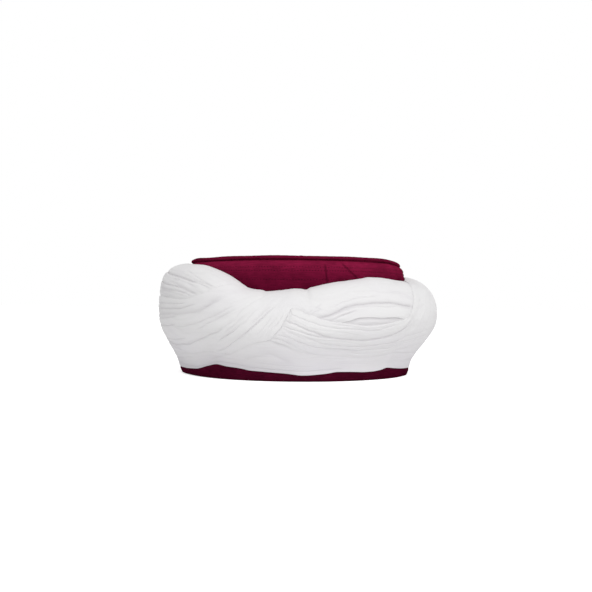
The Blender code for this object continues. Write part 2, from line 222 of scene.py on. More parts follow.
class Fabric:
    """A Principled material with short ways to add the textures that a fabric needs."""

    def __init__(self, name, roughness, sheen, specular):
        self.material = bpy.data.materials.new(name)
        self.material.use_nodes = True
        self.tree = self.material.node_tree
        self.shader = self.tree.nodes["Principled BSDF"]
        self.shader.inputs["Roughness"].default_value = roughness
        self.shader.inputs["Sheen Weight"].default_value = sheen
        self.shader.inputs["Sheen Roughness"].default_value = 0.5
        self.shader.inputs["Specular IOR Level"].default_value = specular
        self.place = self.add("ShaderNodeTexCoord").outputs["UV"]

    def add(self, kind, **values):
        node = self.tree.nodes.new(kind)
        for key, value in values.items():
            setattr(node, key, value)
        return node

    def stretched(self, scale):
        mapping = self.add("ShaderNodeMapping")
        mapping.inputs["Scale"].default_value = scale
        self.tree.links.new(self.place, mapping.inputs["Vector"])
        return mapping.outputs["Vector"]

    def noise(self, place, scale, detail=2.0):
        node = self.add("ShaderNodeTexNoise")
        node.inputs["Scale"].default_value = scale
        node.inputs["Detail"].default_value = detail
        self.tree.links.new(place, node.inputs["Vector"])
        return node.outputs["Fac"]

    def threads(self, direction, per_metre):
        """Ridges of thread, side by side along one axis of the UV map."""
        wave = self.add("ShaderNodeTexWave", bands_direction=direction)
        wave.inputs["Scale"].default_value = per_metre * WAVE_UNIT
        wave.inputs["Distortion"].default_value = THREAD_WANDER
        self.tree.links.new(self.place, wave.inputs["Vector"])
        return wave.outputs["Fac"]

    def weave(self, per_metre, depth, strength):
        """Adds the relief of two crossing sets of threads."""
        crossing = self.math("ADD", self.threads("Y", per_metre), self.threads("X", per_metre))
        self.bump(crossing, depth, strength)

    def ramp(self, value, *stops):
        node = self.add("ShaderNodeValToRGB")
        elements = node.color_ramp.elements
        while len(elements) < len(stops):
            elements.new(0.5)
        for element, (position, colour) in zip(elements, stops):
            element.position = position
            element.color = colour
        self.tree.links.new(value, node.inputs["Fac"])
        return node.outputs["Color"]

    def math(self, operation, first, second):
        node = self.add("ShaderNodeMath", operation=operation)
        for socket, value in zip(node.inputs, (first, second)):
            if isinstance(value, float):
                socket.default_value = value
            else:
                self.tree.links.new(value, socket)
        return node.outputs["Value"]

    def mix(self, share, first, second):
        node = self.add("ShaderNodeMix", data_type="RGBA")
        self.tree.links.new(share, node.inputs["Factor"])
        self.tree.links.new(first, node.inputs["A"])
        self.tree.links.new(second, node.inputs["B"])
        return node.outputs["Result"]

    def times(self, colour, tone, share=None):
        """A colour darkened or lightened by a tone, fully or by a share."""
        node = self.add("ShaderNodeMix", data_type="RGBA", blend_type="MULTIPLY")
        node.inputs["Factor"].default_value = 1.0
        if share:
            self.tree.links.new(share, node.inputs["Factor"])
        self.tree.links.new(colour, node.inputs["A"])
        if isinstance(tone, tuple):
            node.inputs["B"].default_value = tone
        else:
            self.tree.links.new(tone, node.inputs["B"])
        return node.outputs["Result"]

    def height(self):
        """The height above the floor in metres."""
        axes = self.add("ShaderNodeSeparateXYZ")
        self.tree.links.new(self.add("ShaderNodeTexCoord").outputs["Object"], axes.inputs["Vector"])
        return axes.outputs["Z"]

    def falling(self, value, start, end, shape="SMOOTHSTEP"):
        """1 up to a start and 0 from an end on."""
        span = self.add("ShaderNodeMapRange", interpolation_type=shape)
        for name, number in (("From Min", end), ("From Max", start)):
            span.inputs[name].default_value = number
        self.tree.links.new(value, span.inputs["Value"])
        return span.outputs["Result"]

    def line(self, start, end, width):
        """1 on a straight line of the UV map, 0 from a width beside it and past its ends."""
        start, end = Vector((*start, 0.0)), Vector((*end, 0.0))
        along = (end - start).normalized()
        middle = (start + end) / 2
        parts = []
        for direction, inner, outer in (
            (Vector((-along.y, along.x, 0.0)), 0.0, width),
            (along, (end - start).length / 2 - 3 * width, (end - start).length / 2),
        ):
            place = self.add("ShaderNodeVectorMath", operation="SUBTRACT")
            place.inputs[1].default_value = middle
            self.tree.links.new(self.place, place.inputs[0])
            dot = self.add("ShaderNodeVectorMath", operation="DOT_PRODUCT")
            dot.inputs[1].default_value = direction
            self.tree.links.new(place.outputs["Vector"], dot.inputs[0])
            away = self.math("ABSOLUTE", dot.outputs["Value"], 0.0)
            parts.append(self.falling(away, inner, outer))
        return self.math("MULTIPLY", *parts)

    def colour(self, colour):
        self.tree.links.new(colour, self.shader.inputs["Base Color"])

    def roughness(self, value):
        self.tree.links.new(value, self.shader.inputs["Roughness"])

    def bump(self, height, depth, strength=1.0):
        """Adds relief of a depth in metres on top of any relief so far."""
        node = self.add("ShaderNodeBump")
        node.inputs["Distance"].default_value = depth
        node.inputs["Strength"].default_value = strength
        self.tree.links.new(height, node.inputs["Height"])
        normal = self.shader.inputs["Normal"]
        if normal.is_linked:
            self.tree.links.new(normal.links[0].from_socket, node.inputs["Normal"])
        self.tree.links.new(node.outputs["Normal"], normal)


def on_band(azimuth, height):
    """Where a place on the band lies on its UV map."""
    return math.radians(azimuth) * RADIUS, height


def make_maroon():
    cotton = Fabric("maroon_cotton", roughness=0.9, sheen=0.0, specular=0.0)
    slubs = cotton.noise(cotton.stretched(SLUB_STRETCH), 1.0, 4.0)
    worn = cotton.noise(cotton.stretched((1.0, 1.0, 1.0)), WORN_PATCHES_PER_METRE, 4.0)
    # Painted light and shade: the cloth is darker at the hem and low down, and lighter near the top.
    shading_by_height = [(height / TALLEST, tone) for height, tone in MAROON_PAINTED_SHADING]
    cloth = cotton.ramp(cotton.math("DIVIDE", cotton.height(), TALLEST), *shading_by_height)
    for unevenness in (slubs, worn):
        cloth = cotton.times(cloth, cotton.ramp(unevenness, (0.35, DARKER), (0.65, LIGHTER)))
    # Painted shade along the seam and the crease, and a bump for their grooves.
    for line in (SEAM, CREASE):
        fold = cotton.line(*(on_band(*end) for end in line), LINE_WIDTH)
        cloth = cotton.times(cloth, LINE_SHADE, fold)
        cotton.bump(cotton.math("SUBTRACT", 1.0, fold), LINE_DEPTH)
    cotton.colour(cloth)
    cotton.weave(MAROON_THREADS_PER_METRE, MAROON_WEAVE_DEPTH, 0.5)
    cotton.bump(slubs, SLUB_DEPTH, 0.5)
    return cotton.material


maroon = make_maroon()
print("maroon cotton has", len(maroon.node_tree.nodes), "nodes")

# %% [markdown]
# The turban cloth is voile, a thin plain weave of fine, hard-twisted threads. It is crisp, so
# besides the pleats it keeps tiny creases that run along them. Those are too fine to model, so
# they are bump from stretched noise, and the weave is two sets of crossing threads. Deep in a
# fold little light gets out again: the pieces carry an attribute that says how deep, and the
# colour is a little darker there.

# %% White voile
WHITE = (0.875, 0.868, 0.872, 1.0)
WHITE_SHADED = (0.860, 0.848, 0.862, 1.0)
WHITE_LOW = (0.872, 0.856, 0.892, 1.0)
FOLD_SHADE = (0.78, 0.765, 0.78, 1.0)
LOW_HEIGHT = 0.022
LOW_BLEND = 0.014
VOILE_THREADS_PER_METRE = 2400.0
CREASE_STRETCH = (26.0, 620.0, 1.0)
SOFT_CREASE_STRETCH = (11.0, 190.0, 1.0)
TINT_PATCHES_PER_METRE = 22.0
ROUGH = (0.95, 0.95, 0.95, 1.0)
LESS_ROUGH = (0.8, 0.8, 0.8, 1.0)
VOILE_WEAVE_DEPTH = 0.00004
CREASE_DEPTH = 0.00022
SOFT_CREASE_DEPTH = 0.0005


def make_voile():
    voile = Fabric("white_voile", roughness=0.9, sheen=0.05, specular=0.12)
    fine = voile.noise(voile.stretched(CREASE_STRETCH), 1.0, 4.0)
    soft = voile.noise(voile.stretched(SOFT_CREASE_STRETCH), 1.0, 2.0)
    tint = voile.noise(voile.stretched((1.0, 1.0, 1.0)), TINT_PATCHES_PER_METRE, 3.0)
    upper = voile.ramp(tint, (0.30, WHITE_SHADED), (0.55, WHITE))
    low = voile.ramp(tint, (0.30, WHITE_LOW), (0.70, WHITE_SHADED))
    start, end = LOW_HEIGHT - LOW_BLEND, LOW_HEIGHT + LOW_BLEND
    cloth = voile.mix(voile.falling(voile.height(), start, end, "LINEAR"), upper, low)
    folds = voile.add("ShaderNodeAttribute", attribute_name="fold").outputs["Fac"]
    voile.colour(voile.times(cloth, FOLD_SHADE, folds))
    voile.roughness(voile.ramp(fine, (0.3, ROUGH), (0.7, LESS_ROUGH)))
    voile.weave(VOILE_THREADS_PER_METRE, VOILE_WEAVE_DEPTH, 0.3)
    voile.bump(fine, CREASE_DEPTH, 0.7)
    voile.bump(soft, SOFT_CREASE_DEPTH, 0.5)
    return voile.material


voile = make_voile()
print("white voile has", len(voile.node_tree.nodes), "nodes")

# %% [markdown]
# A few helpers are shared by all the pieces. Points of the cap are told by their azimuth, 0 at
# the front and 90 at +X, and by their height. The cap is laid out round a circle and then
# squeezed to the oval of a head, so an azimuth is measured before that squeeze.

# %% Helpers
def edit(obj):
    """Enters edit mode on one object with nothing selected, and returns its BMesh."""
    bpy.context.view_layer.objects.active = obj
    bpy.ops.object.mode_set(mode="EDIT")
    bpy.ops.mesh.select_mode(type="VERT")
    bpy.ops.mesh.select_all(action="DESELECT")
    return bmesh.from_edit_mesh(obj.data)


def select_points(obj, chosen):
    """Selects the points for which chosen(co) is true."""
    shape = bmesh.from_edit_mesh(obj.data)
    for vertex in shape.verts:
        vertex.select_set(bool(chosen(vertex.co)))
    shape.select_flush(True)
    bmesh.update_edit_mesh(obj.data)


def leave_edit():
    bpy.ops.object.mode_set(mode="OBJECT")


def azimuth_of(co):
    return math.degrees(math.atan2((co.x - CAP_X) / SQUEEZE, -co.y))


def radius_of(co):
    return math.hypot((co.x - CAP_X) / SQUEEZE, co.y)


def at_end(azimuth, power):
    """1 at the +X end of the head and 0 from the front or back on."""
    return max(0.0, math.sin(math.radians(azimuth))) ** power


def on_oval(azimuth, radius, height):
    """The world place of a point of the unsqueezed circle."""
    turn = math.radians(azimuth)
    return (CAP_X + SQUEEZE * radius * math.sin(turn), -radius * math.cos(turn), height)


def squeeze_to_oval(obj):
    """Makes a turned shape round the origin into the cap's oval, in edit mode."""
    bpy.ops.mesh.select_all(action="SELECT")
    bpy.ops.transform.resize(value=(SQUEEZE, 1.0, 1.0), center_override=(0.0, 0.0, 0.0))
    bpy.ops.transform.translate(value=(CAP_X, 0.0, 0.0))


def apply_all(obj):
    bpy.context.view_layer.objects.active = obj
    for modifier in list(obj.modifiers):
        bpy.ops.object.modifier_apply(modifier=modifier.name)


def bake_place(obj):
    """Puts an object's place into its mesh, so that the object itself sits at the origin."""
    obj.data.transform(obj.matrix_world)
    obj.matrix_world.identity()


def smooth(obj, degrees):
    bpy.ops.object.select_all(action="DESELECT")
    obj.select_set(True)
    bpy.context.view_layer.objects.active = obj
    bpy.ops.object.shade_smooth_by_angle(angle=math.radians(degrees))


def lay_uv(obj, place):
    """Gives each corner the UV that place(co, azimuth) says, with no jump where azimuths meet."""
    layer = obj.data.uv_layers.active or obj.data.uv_layers.new(name="cloth")
    points = obj.data.vertices
    for face in obj.data.polygons:
        azimuths = [azimuth_of(points[k].co) for k in face.vertices]
        over = max(azimuths) - min(azimuths) > 180
        for corner, index, azimuth in zip(face.loop_indices, face.vertices, azimuths):
            turn = azimuth + 360 if over and azimuth < 0 else azimuth
            layer.data[corner].uv = place(points[index].co, turn)


def wave_round(azimuth, seed, longest, count=6):
    """A smooth unevenness round the cap, from -1 to 1: a few waves with set phases."""
    total = 0.0
    for number in range(1, count + 1):
        phase = math.sin(seed * 12.9898 + number * 78.233) * 43758.5453
        phase = 2 * math.pi * (phase - math.floor(phase))
        total += math.sin(math.radians(azimuth) * (longest + 2 * number) + phase) / count
    return total


def triangles(obj):
    return sum(len(face.vertices) - 2 for face in obj.data.polygons)


def finish_piece(obj, node, material):
    obj.data.materials.clear()
    obj.data.materials.append(material)
    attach(obj, BODY)
    if node:
        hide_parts(node)
    print(obj.name, "has", triangles(obj), "triangles")


print("helpers are ready")

# %% [markdown]
# The side of the cap is a band of doubled cotton. On the real cap it is sewn into a ring, turned
# up in a hem at the bottom, and turned in under the crown at the top. It could be a turned
# profile, but the cloth isn't perfectly even, so a cylinder is cut into rows, its top is extruded
# inwards for the shoulder, and its points are then pushed a little, as a hand would.

# %% Cap side: a cylinder, cut into rows and turned in at the top
BAND_COLUMNS = 288
# The band's rows of points, in millimetres: coarse below, fine where the stitching runs.
COARSE_ROW = 3
FINE_FROM = 63
FINE_ROW = 0.75
FINE_ROWS = 20
ROW_HEIGHTS = (
    *range(COARSE_ROW, FINE_FROM, COARSE_ROW),
    *(FINE_FROM + FINE_ROW * row for row in range(FINE_ROWS)),
)
BAND_LEAN = 4.6 * MM
TOP_IN = 1.0 * MM
TOP_IN_FROM = 74 * MM
TOP_IN_SPAN = 8 * MM
HEM_OUT = 1.3 * MM
HEM_OUT_HEIGHT = 4 * MM
HEM_OUT_SPAN = 7 * MM
SIDE_OUT = 0.9 * MM
SIDE_OUT_HEIGHT = 76 * MM
SIDE_OUT_SPAN = 8 * MM
CAP_HEIGHT = PIPING_HIGH.z + 0.4 * MM
SHOULDER = 3.0 * MM
SHOULDER_STEPS = 5
SEAM_TUCK = 1.7 * MM
TUCK_RISE = 0.4
WALL = 2.5 * MM
HEM_ROUND = 0.6 * MM


def hill(distance, width):
    return np.exp(-((distance / width) ** 2))


def cap_radius(height, azimuth):
    """The cap leans in on its way up, stands out at its hem, and bulges near its top at +X."""
    drawn = np.clip((height - TOP_IN_FROM) / TOP_IN_SPAN, 0.0, 1.0) ** 1.4
    radius = RADIUS - BAND_LEAN * height / CAP_HEIGHT - TOP_IN * drawn
    radius += SIDE_OUT * at_end(azimuth, 6) * hill(height - SIDE_OUT_HEIGHT, SIDE_OUT_SPAN)
    return radius + HEM_OUT * hill(height - HEM_OUT_HEIGHT, HEM_OUT_SPAN)


def make_band():
    side = BAND_HIGH.z - SHOULDER
    bpy.ops.mesh.primitive_cylinder_add(
        vertices=BAND_COLUMNS, radius=RADIUS, depth=side, end_fill_type="NOTHING",
        location=(0.0, 0.0, side / 2),
    )
    band = bpy.context.active_object
    band.name = "cap_side"
    bake_place(band)
    edit(band)
    for height in ROW_HEIGHTS:
        bpy.ops.mesh.select_all(action="SELECT")
        bpy.ops.mesh.bisect(plane_co=(0.0, 0.0, height * MM), plane_no=(0.0, 0.0, 1.0))
    bpy.ops.mesh.select_all(action="DESELECT")
    select_points(band, lambda co: co.z > side - 0.01 * MM)
    reach = RADIUS
    height = side
    for step in range(1, SHOULDER_STEPS + 2):
        angle = math.radians(90 * min(step, SHOULDER_STEPS) / SHOULDER_STEPS)
        tuck = SEAM_TUCK if step > SHOULDER_STEPS else 0.0
        new_reach = RADIUS - SHOULDER + SHOULDER * math.cos(angle) - tuck
        new_height = side + SHOULDER * math.sin(angle) + TUCK_RISE * tuck
        bpy.ops.mesh.extrude_region_move(
            TRANSFORM_OT_translate={"value": (0.0, 0.0, new_height - height)}
        )
        ratio = new_reach / reach
        bpy.ops.transform.resize(value=(ratio, ratio, 1.0), center_override=(0.0, 0.0, 0.0))
        reach, height = new_reach, new_height
    squeeze_to_oval(band)
    leave_edit()
    return band


band = make_band()
print("the band has", len(band.data.vertices), "points before its wall is made")

# %% [markdown]
# Small things make the band cloth: it leans in towards the crown, the seam at the front right
# leans, and stands out a little where it laps, the hem is turned in at the floor, and each row
# of stitches pulls the cloth in. These are moves of the points along the radius. The top has
# also sunk a little at +X, and the hem has come up a little at -X.

# %% Cap side: seam, crease, stitched rows and unevenness
SEAM_LAP = 0.3 * MM
# In millimetres: how far beside the seam its lap stands highest, and how wide it is.
LAP_BESIDE = 2.4
LAP_SPREAD = 2.2
HEM_TUCK = 1.2 * MM
HEM_TUCK_HEIGHT = 3.5 * MM
SINK = 1.8 * MM
SINK_FROM = 0.86
SINK_START = 0.8
HEM_LIFT = 0.9 * MM
HEM_LIFT_HEIGHT = 9 * MM
STITCH_ROWS = (77.6, 75.2, 68.9)
STITCH_PULL = 0.32 * MM
PULL_SHARES = (1.0, 1.0, 0.6)
PULL_SPREAD = 0.8
UNEVEN = 0.28 * MM


def band_push(azimuth, height):
    """How far the cloth stands out (or in, below 0) at a place on the band, in metres."""
    level = height / MM
    around = (azimuth - SEAM[1][0]) * math.radians(1) * RADIUS / MM
    push = SEAM_LAP * hill(around - LAP_BESIDE, LAP_SPREAD)
    push -= HEM_TUCK * max(0.0, 1 - height / HEM_TUCK_HEIGHT) ** 2
    for row, share in zip(STITCH_ROWS, PULL_SHARES):
        push -= STITCH_PULL * share * hill(level - row, PULL_SPREAD)
    push += UNEVEN * wave_round(azimuth + level * 0.25, 1, 5)
    push += 0.45 * UNEVEN * wave_round(azimuth - level * 0.4, 2, 21, 9)
    return push


def sunk(azimuth):
    """How far the top of the cap has sunk at its +X end."""
    over = max(0.0, math.sin(math.radians(azimuth)) - SINK_START)
    return SINK * over**2 / (1 - SINK_START) ** 2


def hem_lift(azimuth, height):
    """How far the hem has come up from the floor at its -X end."""
    return HEM_LIFT * at_end(-azimuth, 4) * max(0.0, 1 - height / HEM_LIFT_HEIGHT)


def shape_band(band):
    for vertex in band.data.vertices:
        co = vertex.co
        azimuth = azimuth_of(co)
        radius = radius_of(co)
        lean = cap_radius(co.z, azimuth) / RADIUS
        low = sunk(azimuth) * max(0.0, co.z / BAND_HIGH.z - SINK_FROM) / (1 - SINK_FROM)
        level = co.z - low + hem_lift(azimuth, co.z)
        vertex.co = on_oval(azimuth, radius * lean + band_push(azimuth, co.z), level)


def wall_and_round(obj, thickness, rounding):
    """Gives an open sheet its wall on the inner side, with rounded rims."""
    solid = obj.modifiers.new("wall", "SOLIDIFY")
    solid.thickness = thickness
    solid.offset = -1.0
    rims = obj.modifiers.new("rims", "BEVEL")
    rims.width = rounding
    rims.segments = 3
    rims.limit_method = "ANGLE"
    rims.angle_limit = math.radians(50)
    apply_all(obj)


shape_band(band)
wall_and_round(band, WALL, HEM_ROUND)
smooth(band, 60)
lay_uv(band, lambda co, azimuth: (math.radians(azimuth) * RADIUS, co.z))
finish_piece(band, "cap_side_band", maroon)

# %% [markdown]
# The crown is a flat oval panel. It starts as a disc, is inset many times so that it has rings of
# points, and rises very slightly to its middle. Near the seam the stitches draw up small puckers.
# Its rim reaches under the welt, and its UV map lies a metre away from the band's, as another
# panel cut from the same cotton.

# %% Crown
CROWN_COLUMNS = 216
CROWN_RINGS = 26
CROWN_RISE = 1.0 * MM
PUCKER = 0.28 * MM
PUCKER_REACH = 9 * MM
CROWN_WAVE = 0.3 * MM
CROWN_TWIST = 900
UNDER_WELT = 1.6 * MM
WELT_OUT = 1.0 * MM
WELT_SUNK = 1.3
CROWN_HALF = (CROWN_HIGH.y - CROWN_LOW.y) / 2 - TOP_IN + UNDER_WELT
CROWN_RIM_TOP = CROWN_HIGH.z - CROWN_RISE


def pushed_out(azimuth):
    """How far the top of the cap is pushed out at its +X end."""
    return WELT_OUT * at_end(azimuth, 6)


def make_crown():
    bpy.ops.mesh.primitive_circle_add(
        vertices=CROWN_COLUMNS, radius=CROWN_HALF, fill_type="NGON", location=(0.0, 0.0, 0.0)
    )
    crown = bpy.context.active_object
    crown.name = "crown_panel"
    edit(crown)
    bpy.ops.mesh.select_all(action="SELECT")
    for _ in range(CROWN_RINGS):
        bpy.ops.mesh.inset(thickness=CROWN_HALF / (CROWN_RINGS + 2))
    bpy.ops.mesh.poke()
    squeeze_to_oval(crown)
    leave_edit()
    for vertex in crown.data.vertices:
        co = vertex.co
        azimuth = azimuth_of(co)
        radius = radius_of(co)
        rise = CROWN_RISE * (1 - (radius / CROWN_HALF) ** 2)
        near = math.exp(-(CROWN_HALF - radius) / PUCKER_REACH)
        rise += PUCKER * near * wave_round(azimuth, 5, 38, 12)
        rise += CROWN_WAVE * wave_round(azimuth + radius * CROWN_TWIST, 6, 1, 4) * (radius / CROWN_HALF)
        low = WELT_SUNK * sunk(azimuth) * (radius / CROWN_HALF) ** 3
        radius += pushed_out(azimuth) * (radius / CROWN_HALF) ** 4
        height = CROWN_RIM_TOP + min(rise, CROWN_RISE) - low
        vertex.co = on_oval(azimuth, radius, height)
    return crown


crown = make_crown()
wall_and_round(crown, WALL, 0.7 * MM)
smooth(crown, 50)
lay_uv(crown, lambda co, azimuth: (co.x + 1.0, co.y))
finish_piece(crown, "cap_crown", maroon)

# %% [markdown]
# A rolled welt covers the seam between crown and side. A torus gives the roll. The cloth of a
# welt is drawn tight over its cord by the stitching, so it isn't smooth: it swells and thins a
# little, and fine twists run slantwise round it.

# %% Crown welt
WELT_RADIUS = 1.15 * MM
WELT_SEAM = (PIPING_HIGH.y - PIPING_LOW.y) / 2 - TOP_IN - WELT_RADIUS - 0.2 * MM
WELT_HEIGHT = PIPING_HIGH.z - WELT_RADIUS + 0.25 * MM
WELT_JOIN = 3.2
WELT_SWELL = 0.12
WELT_TWIST = 0.035
TWISTS_ROUND = 90
JOIN_SWELL = 0.15
JOIN_DIP = 0.12
WELT_LIFT = 0.3 * MM
WELT_SWAY = 0.2 * MM
WELT_COLUMNS = 540
WELT_SIDES = 18


def make_welt():
    bpy.ops.mesh.primitive_torus_add(
        major_radius=WELT_SEAM, minor_radius=WELT_RADIUS, major_segments=WELT_COLUMNS,
        minor_segments=WELT_SIDES, location=(0.0, 0.0, 0.0),
    )
    welt = bpy.context.active_object
    welt.name = "crown_welt"
    edit(welt)
    squeeze_to_oval(welt)
    leave_edit()
    for vertex in welt.data.vertices:
        co = vertex.co
        azimuth = azimuth_of(co)
        radius = radius_of(co)
        out = radius - WELT_SEAM
        around = math.degrees(math.atan2(co.z, out))
        swell = 1 + WELT_SWELL * wave_round(azimuth, 8, 9, 5)
        swell += WELT_TWIST * math.sin(math.radians(azimuth * TWISTS_ROUND + around * 2))
        swell += JOIN_SWELL * hill(azimuth - WELT_JOIN, 0.9)
        swell -= JOIN_DIP * hill(azimuth - WELT_JOIN - 1.6, 0.6)
        lift = WELT_LIFT * wave_round(azimuth, 9, 4, 4) + WELT_HEIGHT - WELT_SUNK * sunk(azimuth)
        sway = WELT_SWAY * wave_round(azimuth, 10, 6, 4) + pushed_out(azimuth)
        vertex.co = on_oval(azimuth, WELT_SEAM + sway + out * swell, lift + co.z * swell)
    return welt


welt = make_welt()
smooth(welt, 180)
lay_uv(welt, lambda co, azimuth: (math.radians(azimuth) * WELT_SEAM, co.z))
finish_piece(welt, "crown_piping", maroon)

# %% [markdown]
# Rows of topstitching run round the band under the welt. Each stitch is a short bar of thread
# whose ends dip into the cloth. One stitch is modelled and then copied all the way round.

# %% Topstitching
STITCH_PITCH = 2.1 * MM
STITCH_LENGTH = 1.1 * MM
STITCH_THICK = 0.65 * MM
STITCH_FLAT = 0.8
STITCH_DIP = 0.22 * MM
STITCH_SEAT = 0.02 * MM
STAGGER = 0.37
ROW_WANDER = 0.16
OVAL_SHARE = 0.96
COUNT_HEIGHT = 75 * MM
THREAD_DARK = (0.035, 0.001, 0.007, 1.0)


def make_thread():
    thread = Fabric("maroon_thread", roughness=0.7, sheen=0.0, specular=0.05)
    ply = thread.add("ShaderNodeTexCoord").outputs["Object"]
    twist = thread.noise(ply, 2600.0, 2.0)
    thread.colour(thread.ramp(twist, (0.35, THREAD_DARK), (0.7, MAROON_LOW_SHADED)))
    thread.bump(twist, 0.00008, 0.6)
    return thread.material


def make_stitch():
    """One stitch, lying along X: a ball drawn out long, flattened, with its ends turned down."""
    bpy.ops.mesh.primitive_uv_sphere_add(segments=8, ring_count=6, radius=0.5, location=(0, 0, 0))
    stitch = bpy.context.active_object
    edit(stitch)
    bpy.ops.mesh.select_all(action="SELECT")
    bpy.ops.transform.rotate(value=math.radians(90), orient_axis="Y", center_override=(0, 0, 0))
    bpy.ops.transform.resize(
        value=(STITCH_LENGTH, STITCH_THICK, STITCH_THICK * STITCH_FLAT), center_override=(0, 0, 0)
    )
    leave_edit()
    for vertex in stitch.data.vertices:
        vertex.co.z -= STITCH_DIP * (2 * vertex.co.x / STITCH_LENGTH) ** 2
    return stitch


def place_stitches(model):
    """Copies the stitch along every row, each copy turned to the band's surface, as one mesh."""
    source = np.array([vertex.co for vertex in model.data.vertices])
    faces = [tuple(face.vertices) for face in model.data.polygons]
    points = []
    polygons = []
    count = int(2 * math.pi * cap_radius(COUNT_HEIGHT, 0.0) * OVAL_SHARE / STITCH_PITCH)
    for number, row in enumerate(STITCH_ROWS):
        for index in range(count):
            azimuth = 360.0 * (index + STAGGER * number) / count - 180.0
            level = (row + ROW_WANDER * math.sin(index * 2.4 + number)) * MM
            radius = cap_radius(level, azimuth) + band_push(azimuth, level) - STITCH_SEAT
            base = np.array(on_oval(azimuth, radius, level))
            ahead = np.array(on_oval(azimuth + 0.5, radius, level)) - base
            ahead /= np.linalg.norm(ahead)
            up = np.array((0.0, 0.0, 1.0))
            out = np.cross(ahead, up)
            start = len(points)
            turned = base + source[:, :1] * ahead + source[:, 1:2] * up + source[:, 2:] * out
            points += turned.tolist()
            polygons += [tuple(start + k for k in face) for face in faces]
    mesh = bpy.data.meshes.new("band_topstitch")
    mesh.from_pydata(points, [], polygons)
    stitches = bpy.data.objects.new("band_topstitch", mesh)
    bpy.context.scene.collection.objects.link(stitches)
    return stitches


stitch = make_stitch()
stitches = place_stitches(stitch)
bpy.data.objects.remove(stitch)
smooth(stitches, 180)
finish_piece(stitches, None, make_thread())

# %% [markdown]
# The wrap has one outline: a belly that stands out from the cap and closes on it at the top and
# at the bottom. It is given by a row for each of some directions round the head, closest at the
# front, and eased from row to row. The front rows of its edges were measured on a picture and
# worked out as heights by a separate script, and then some were moved by hand. Inside the
# outline each turn of cloth is laid on the next, from the outside in.

# %% The wrap's outline
# Columns: azimuth in degrees, height of the lower and of the upper edge in millimetres.
EDGES = (
    (-165, 5.0, 78.5),
    (-120, 4.5, 82.5),
    (-90, 4.3, 83.4),
    (-64, 4.4, 81.2),
    (-52, 5.1, 80.1),
    (-48, 6.1, 79.2),
    (-44, 7.7, 77.8),
    (-38, 9.4, 75.3),
    (-32, 8.3, 71.8),
    (-28, 7.9, 68.6),
    (-24, 7.3, 65.1),
    (-20, 6.3, 62.8),
    (-15, 5.9, 61.7),
    (-13.3, 5.7, 60.9),
    (-11, 5.5, 61.1),
    (-4, 4.8, 62.2),
    (0, 4.1, 62.9),
    (3, 3.6, 62.7),
    (4.8, 3.6, 62.2),
    (6.6, 3.7, 63.5),
    (9, 4.0, 64.4),
    (14, 4.7, 66.2),
    (20, 5.8, 67.9),
    (28, 5.5, 69.5),
    (33, 5.2, 70.6),
    (37, 5.3, 71.6),
    (43, 6.0, 71.6),
    (48, 7.2, 71.2),
    (54, 6.4, 70.6),
    (62, 5.5, 70.2),
    (72, 4.9, 70.4),
    (90, 3.8, 74.0),
    (125, 4.3, 77.5),
    (160, 5.0, 78.0),
)
# Columns: azimuth, height of the belly, how far it stands out, shoulder (2 is an ellipse, more
# is boxier), under (1 is an ellipse, more is drawn in).
BELLY = (
    (-165, 45, 21.5, 2.5, 1.4),
    (-120, 46, 21.3, 3.2, 1.25),
    (-90, 48, 21.8, 4.6, 1.2),
    (-62, 46, 21.6, 3.7, 1.4),
    (-48, 44, 22.0, 3.0, 1.45),
    (-37, 42, 22.0, 2.8, 1.4),
    (-20, 38, 22.0, 2.4, 1.4),
    (-11, 36, 22.0, 2.3, 1.4),
    (3, 37, 22.0, 2.2, 1.4),
    (20, 40, 22.0, 2.2, 1.4),
    (37, 43, 23.0, 2.1, 1.4),
    (60, 45, 25.0, 2.15, 1.45),
    (90, 46, 26.7, 2.45, 1.5),
    (125, 46, 24.0, 2.3, 1.5),
    (160, 45, 22.0, 2.4, 1.4),
)
OUTLINE_STEPS = 80
GAP = 0.3 * MM
SPINE_PULL = 0.55
DEEPEST_SHARE = 0.9


def column(rows, index, azimuth):
    """A table's column at any azimuths: smooth round the head, never past the rows' values."""
    knots = np.array([row[0] for row in rows], float)
    values = np.array([row[index] for row in rows], float)
    azimuth = (np.asarray(azimuth, float) - knots[0]) % 360.0 + knots[0]
    knots = np.concatenate([[knots[-1] - 360], knots, knots[:2] + 360])
    values = np.concatenate([[values[-1]], values, values[:2]])
    rise = np.diff(values) / np.diff(knots)
    product = rise[:-1] * rise[1:]
    total = rise[:-1] + rise[1:]
    inner = np.where(product > 0, 2 * product / np.where(total == 0, 1, total), 0.0)
    slope = np.concatenate([[0.0], inner, [0.0]])
    at = np.clip(np.searchsorted(knots, azimuth, side="right") - 1, 1, len(knots) - 3)
    width = knots[at + 1] - knots[at]
    t = (azimuth - knots[at]) / width
    bend = width * ((t**3 - 2 * t**2 + t) * slope[at] + (t**3 - t**2) * slope[at + 1])
    return (2 * t**3 - 3 * t**2 + 1) * values[at] + (3 * t**2 - 2 * t**3) * values[at + 1] + bend


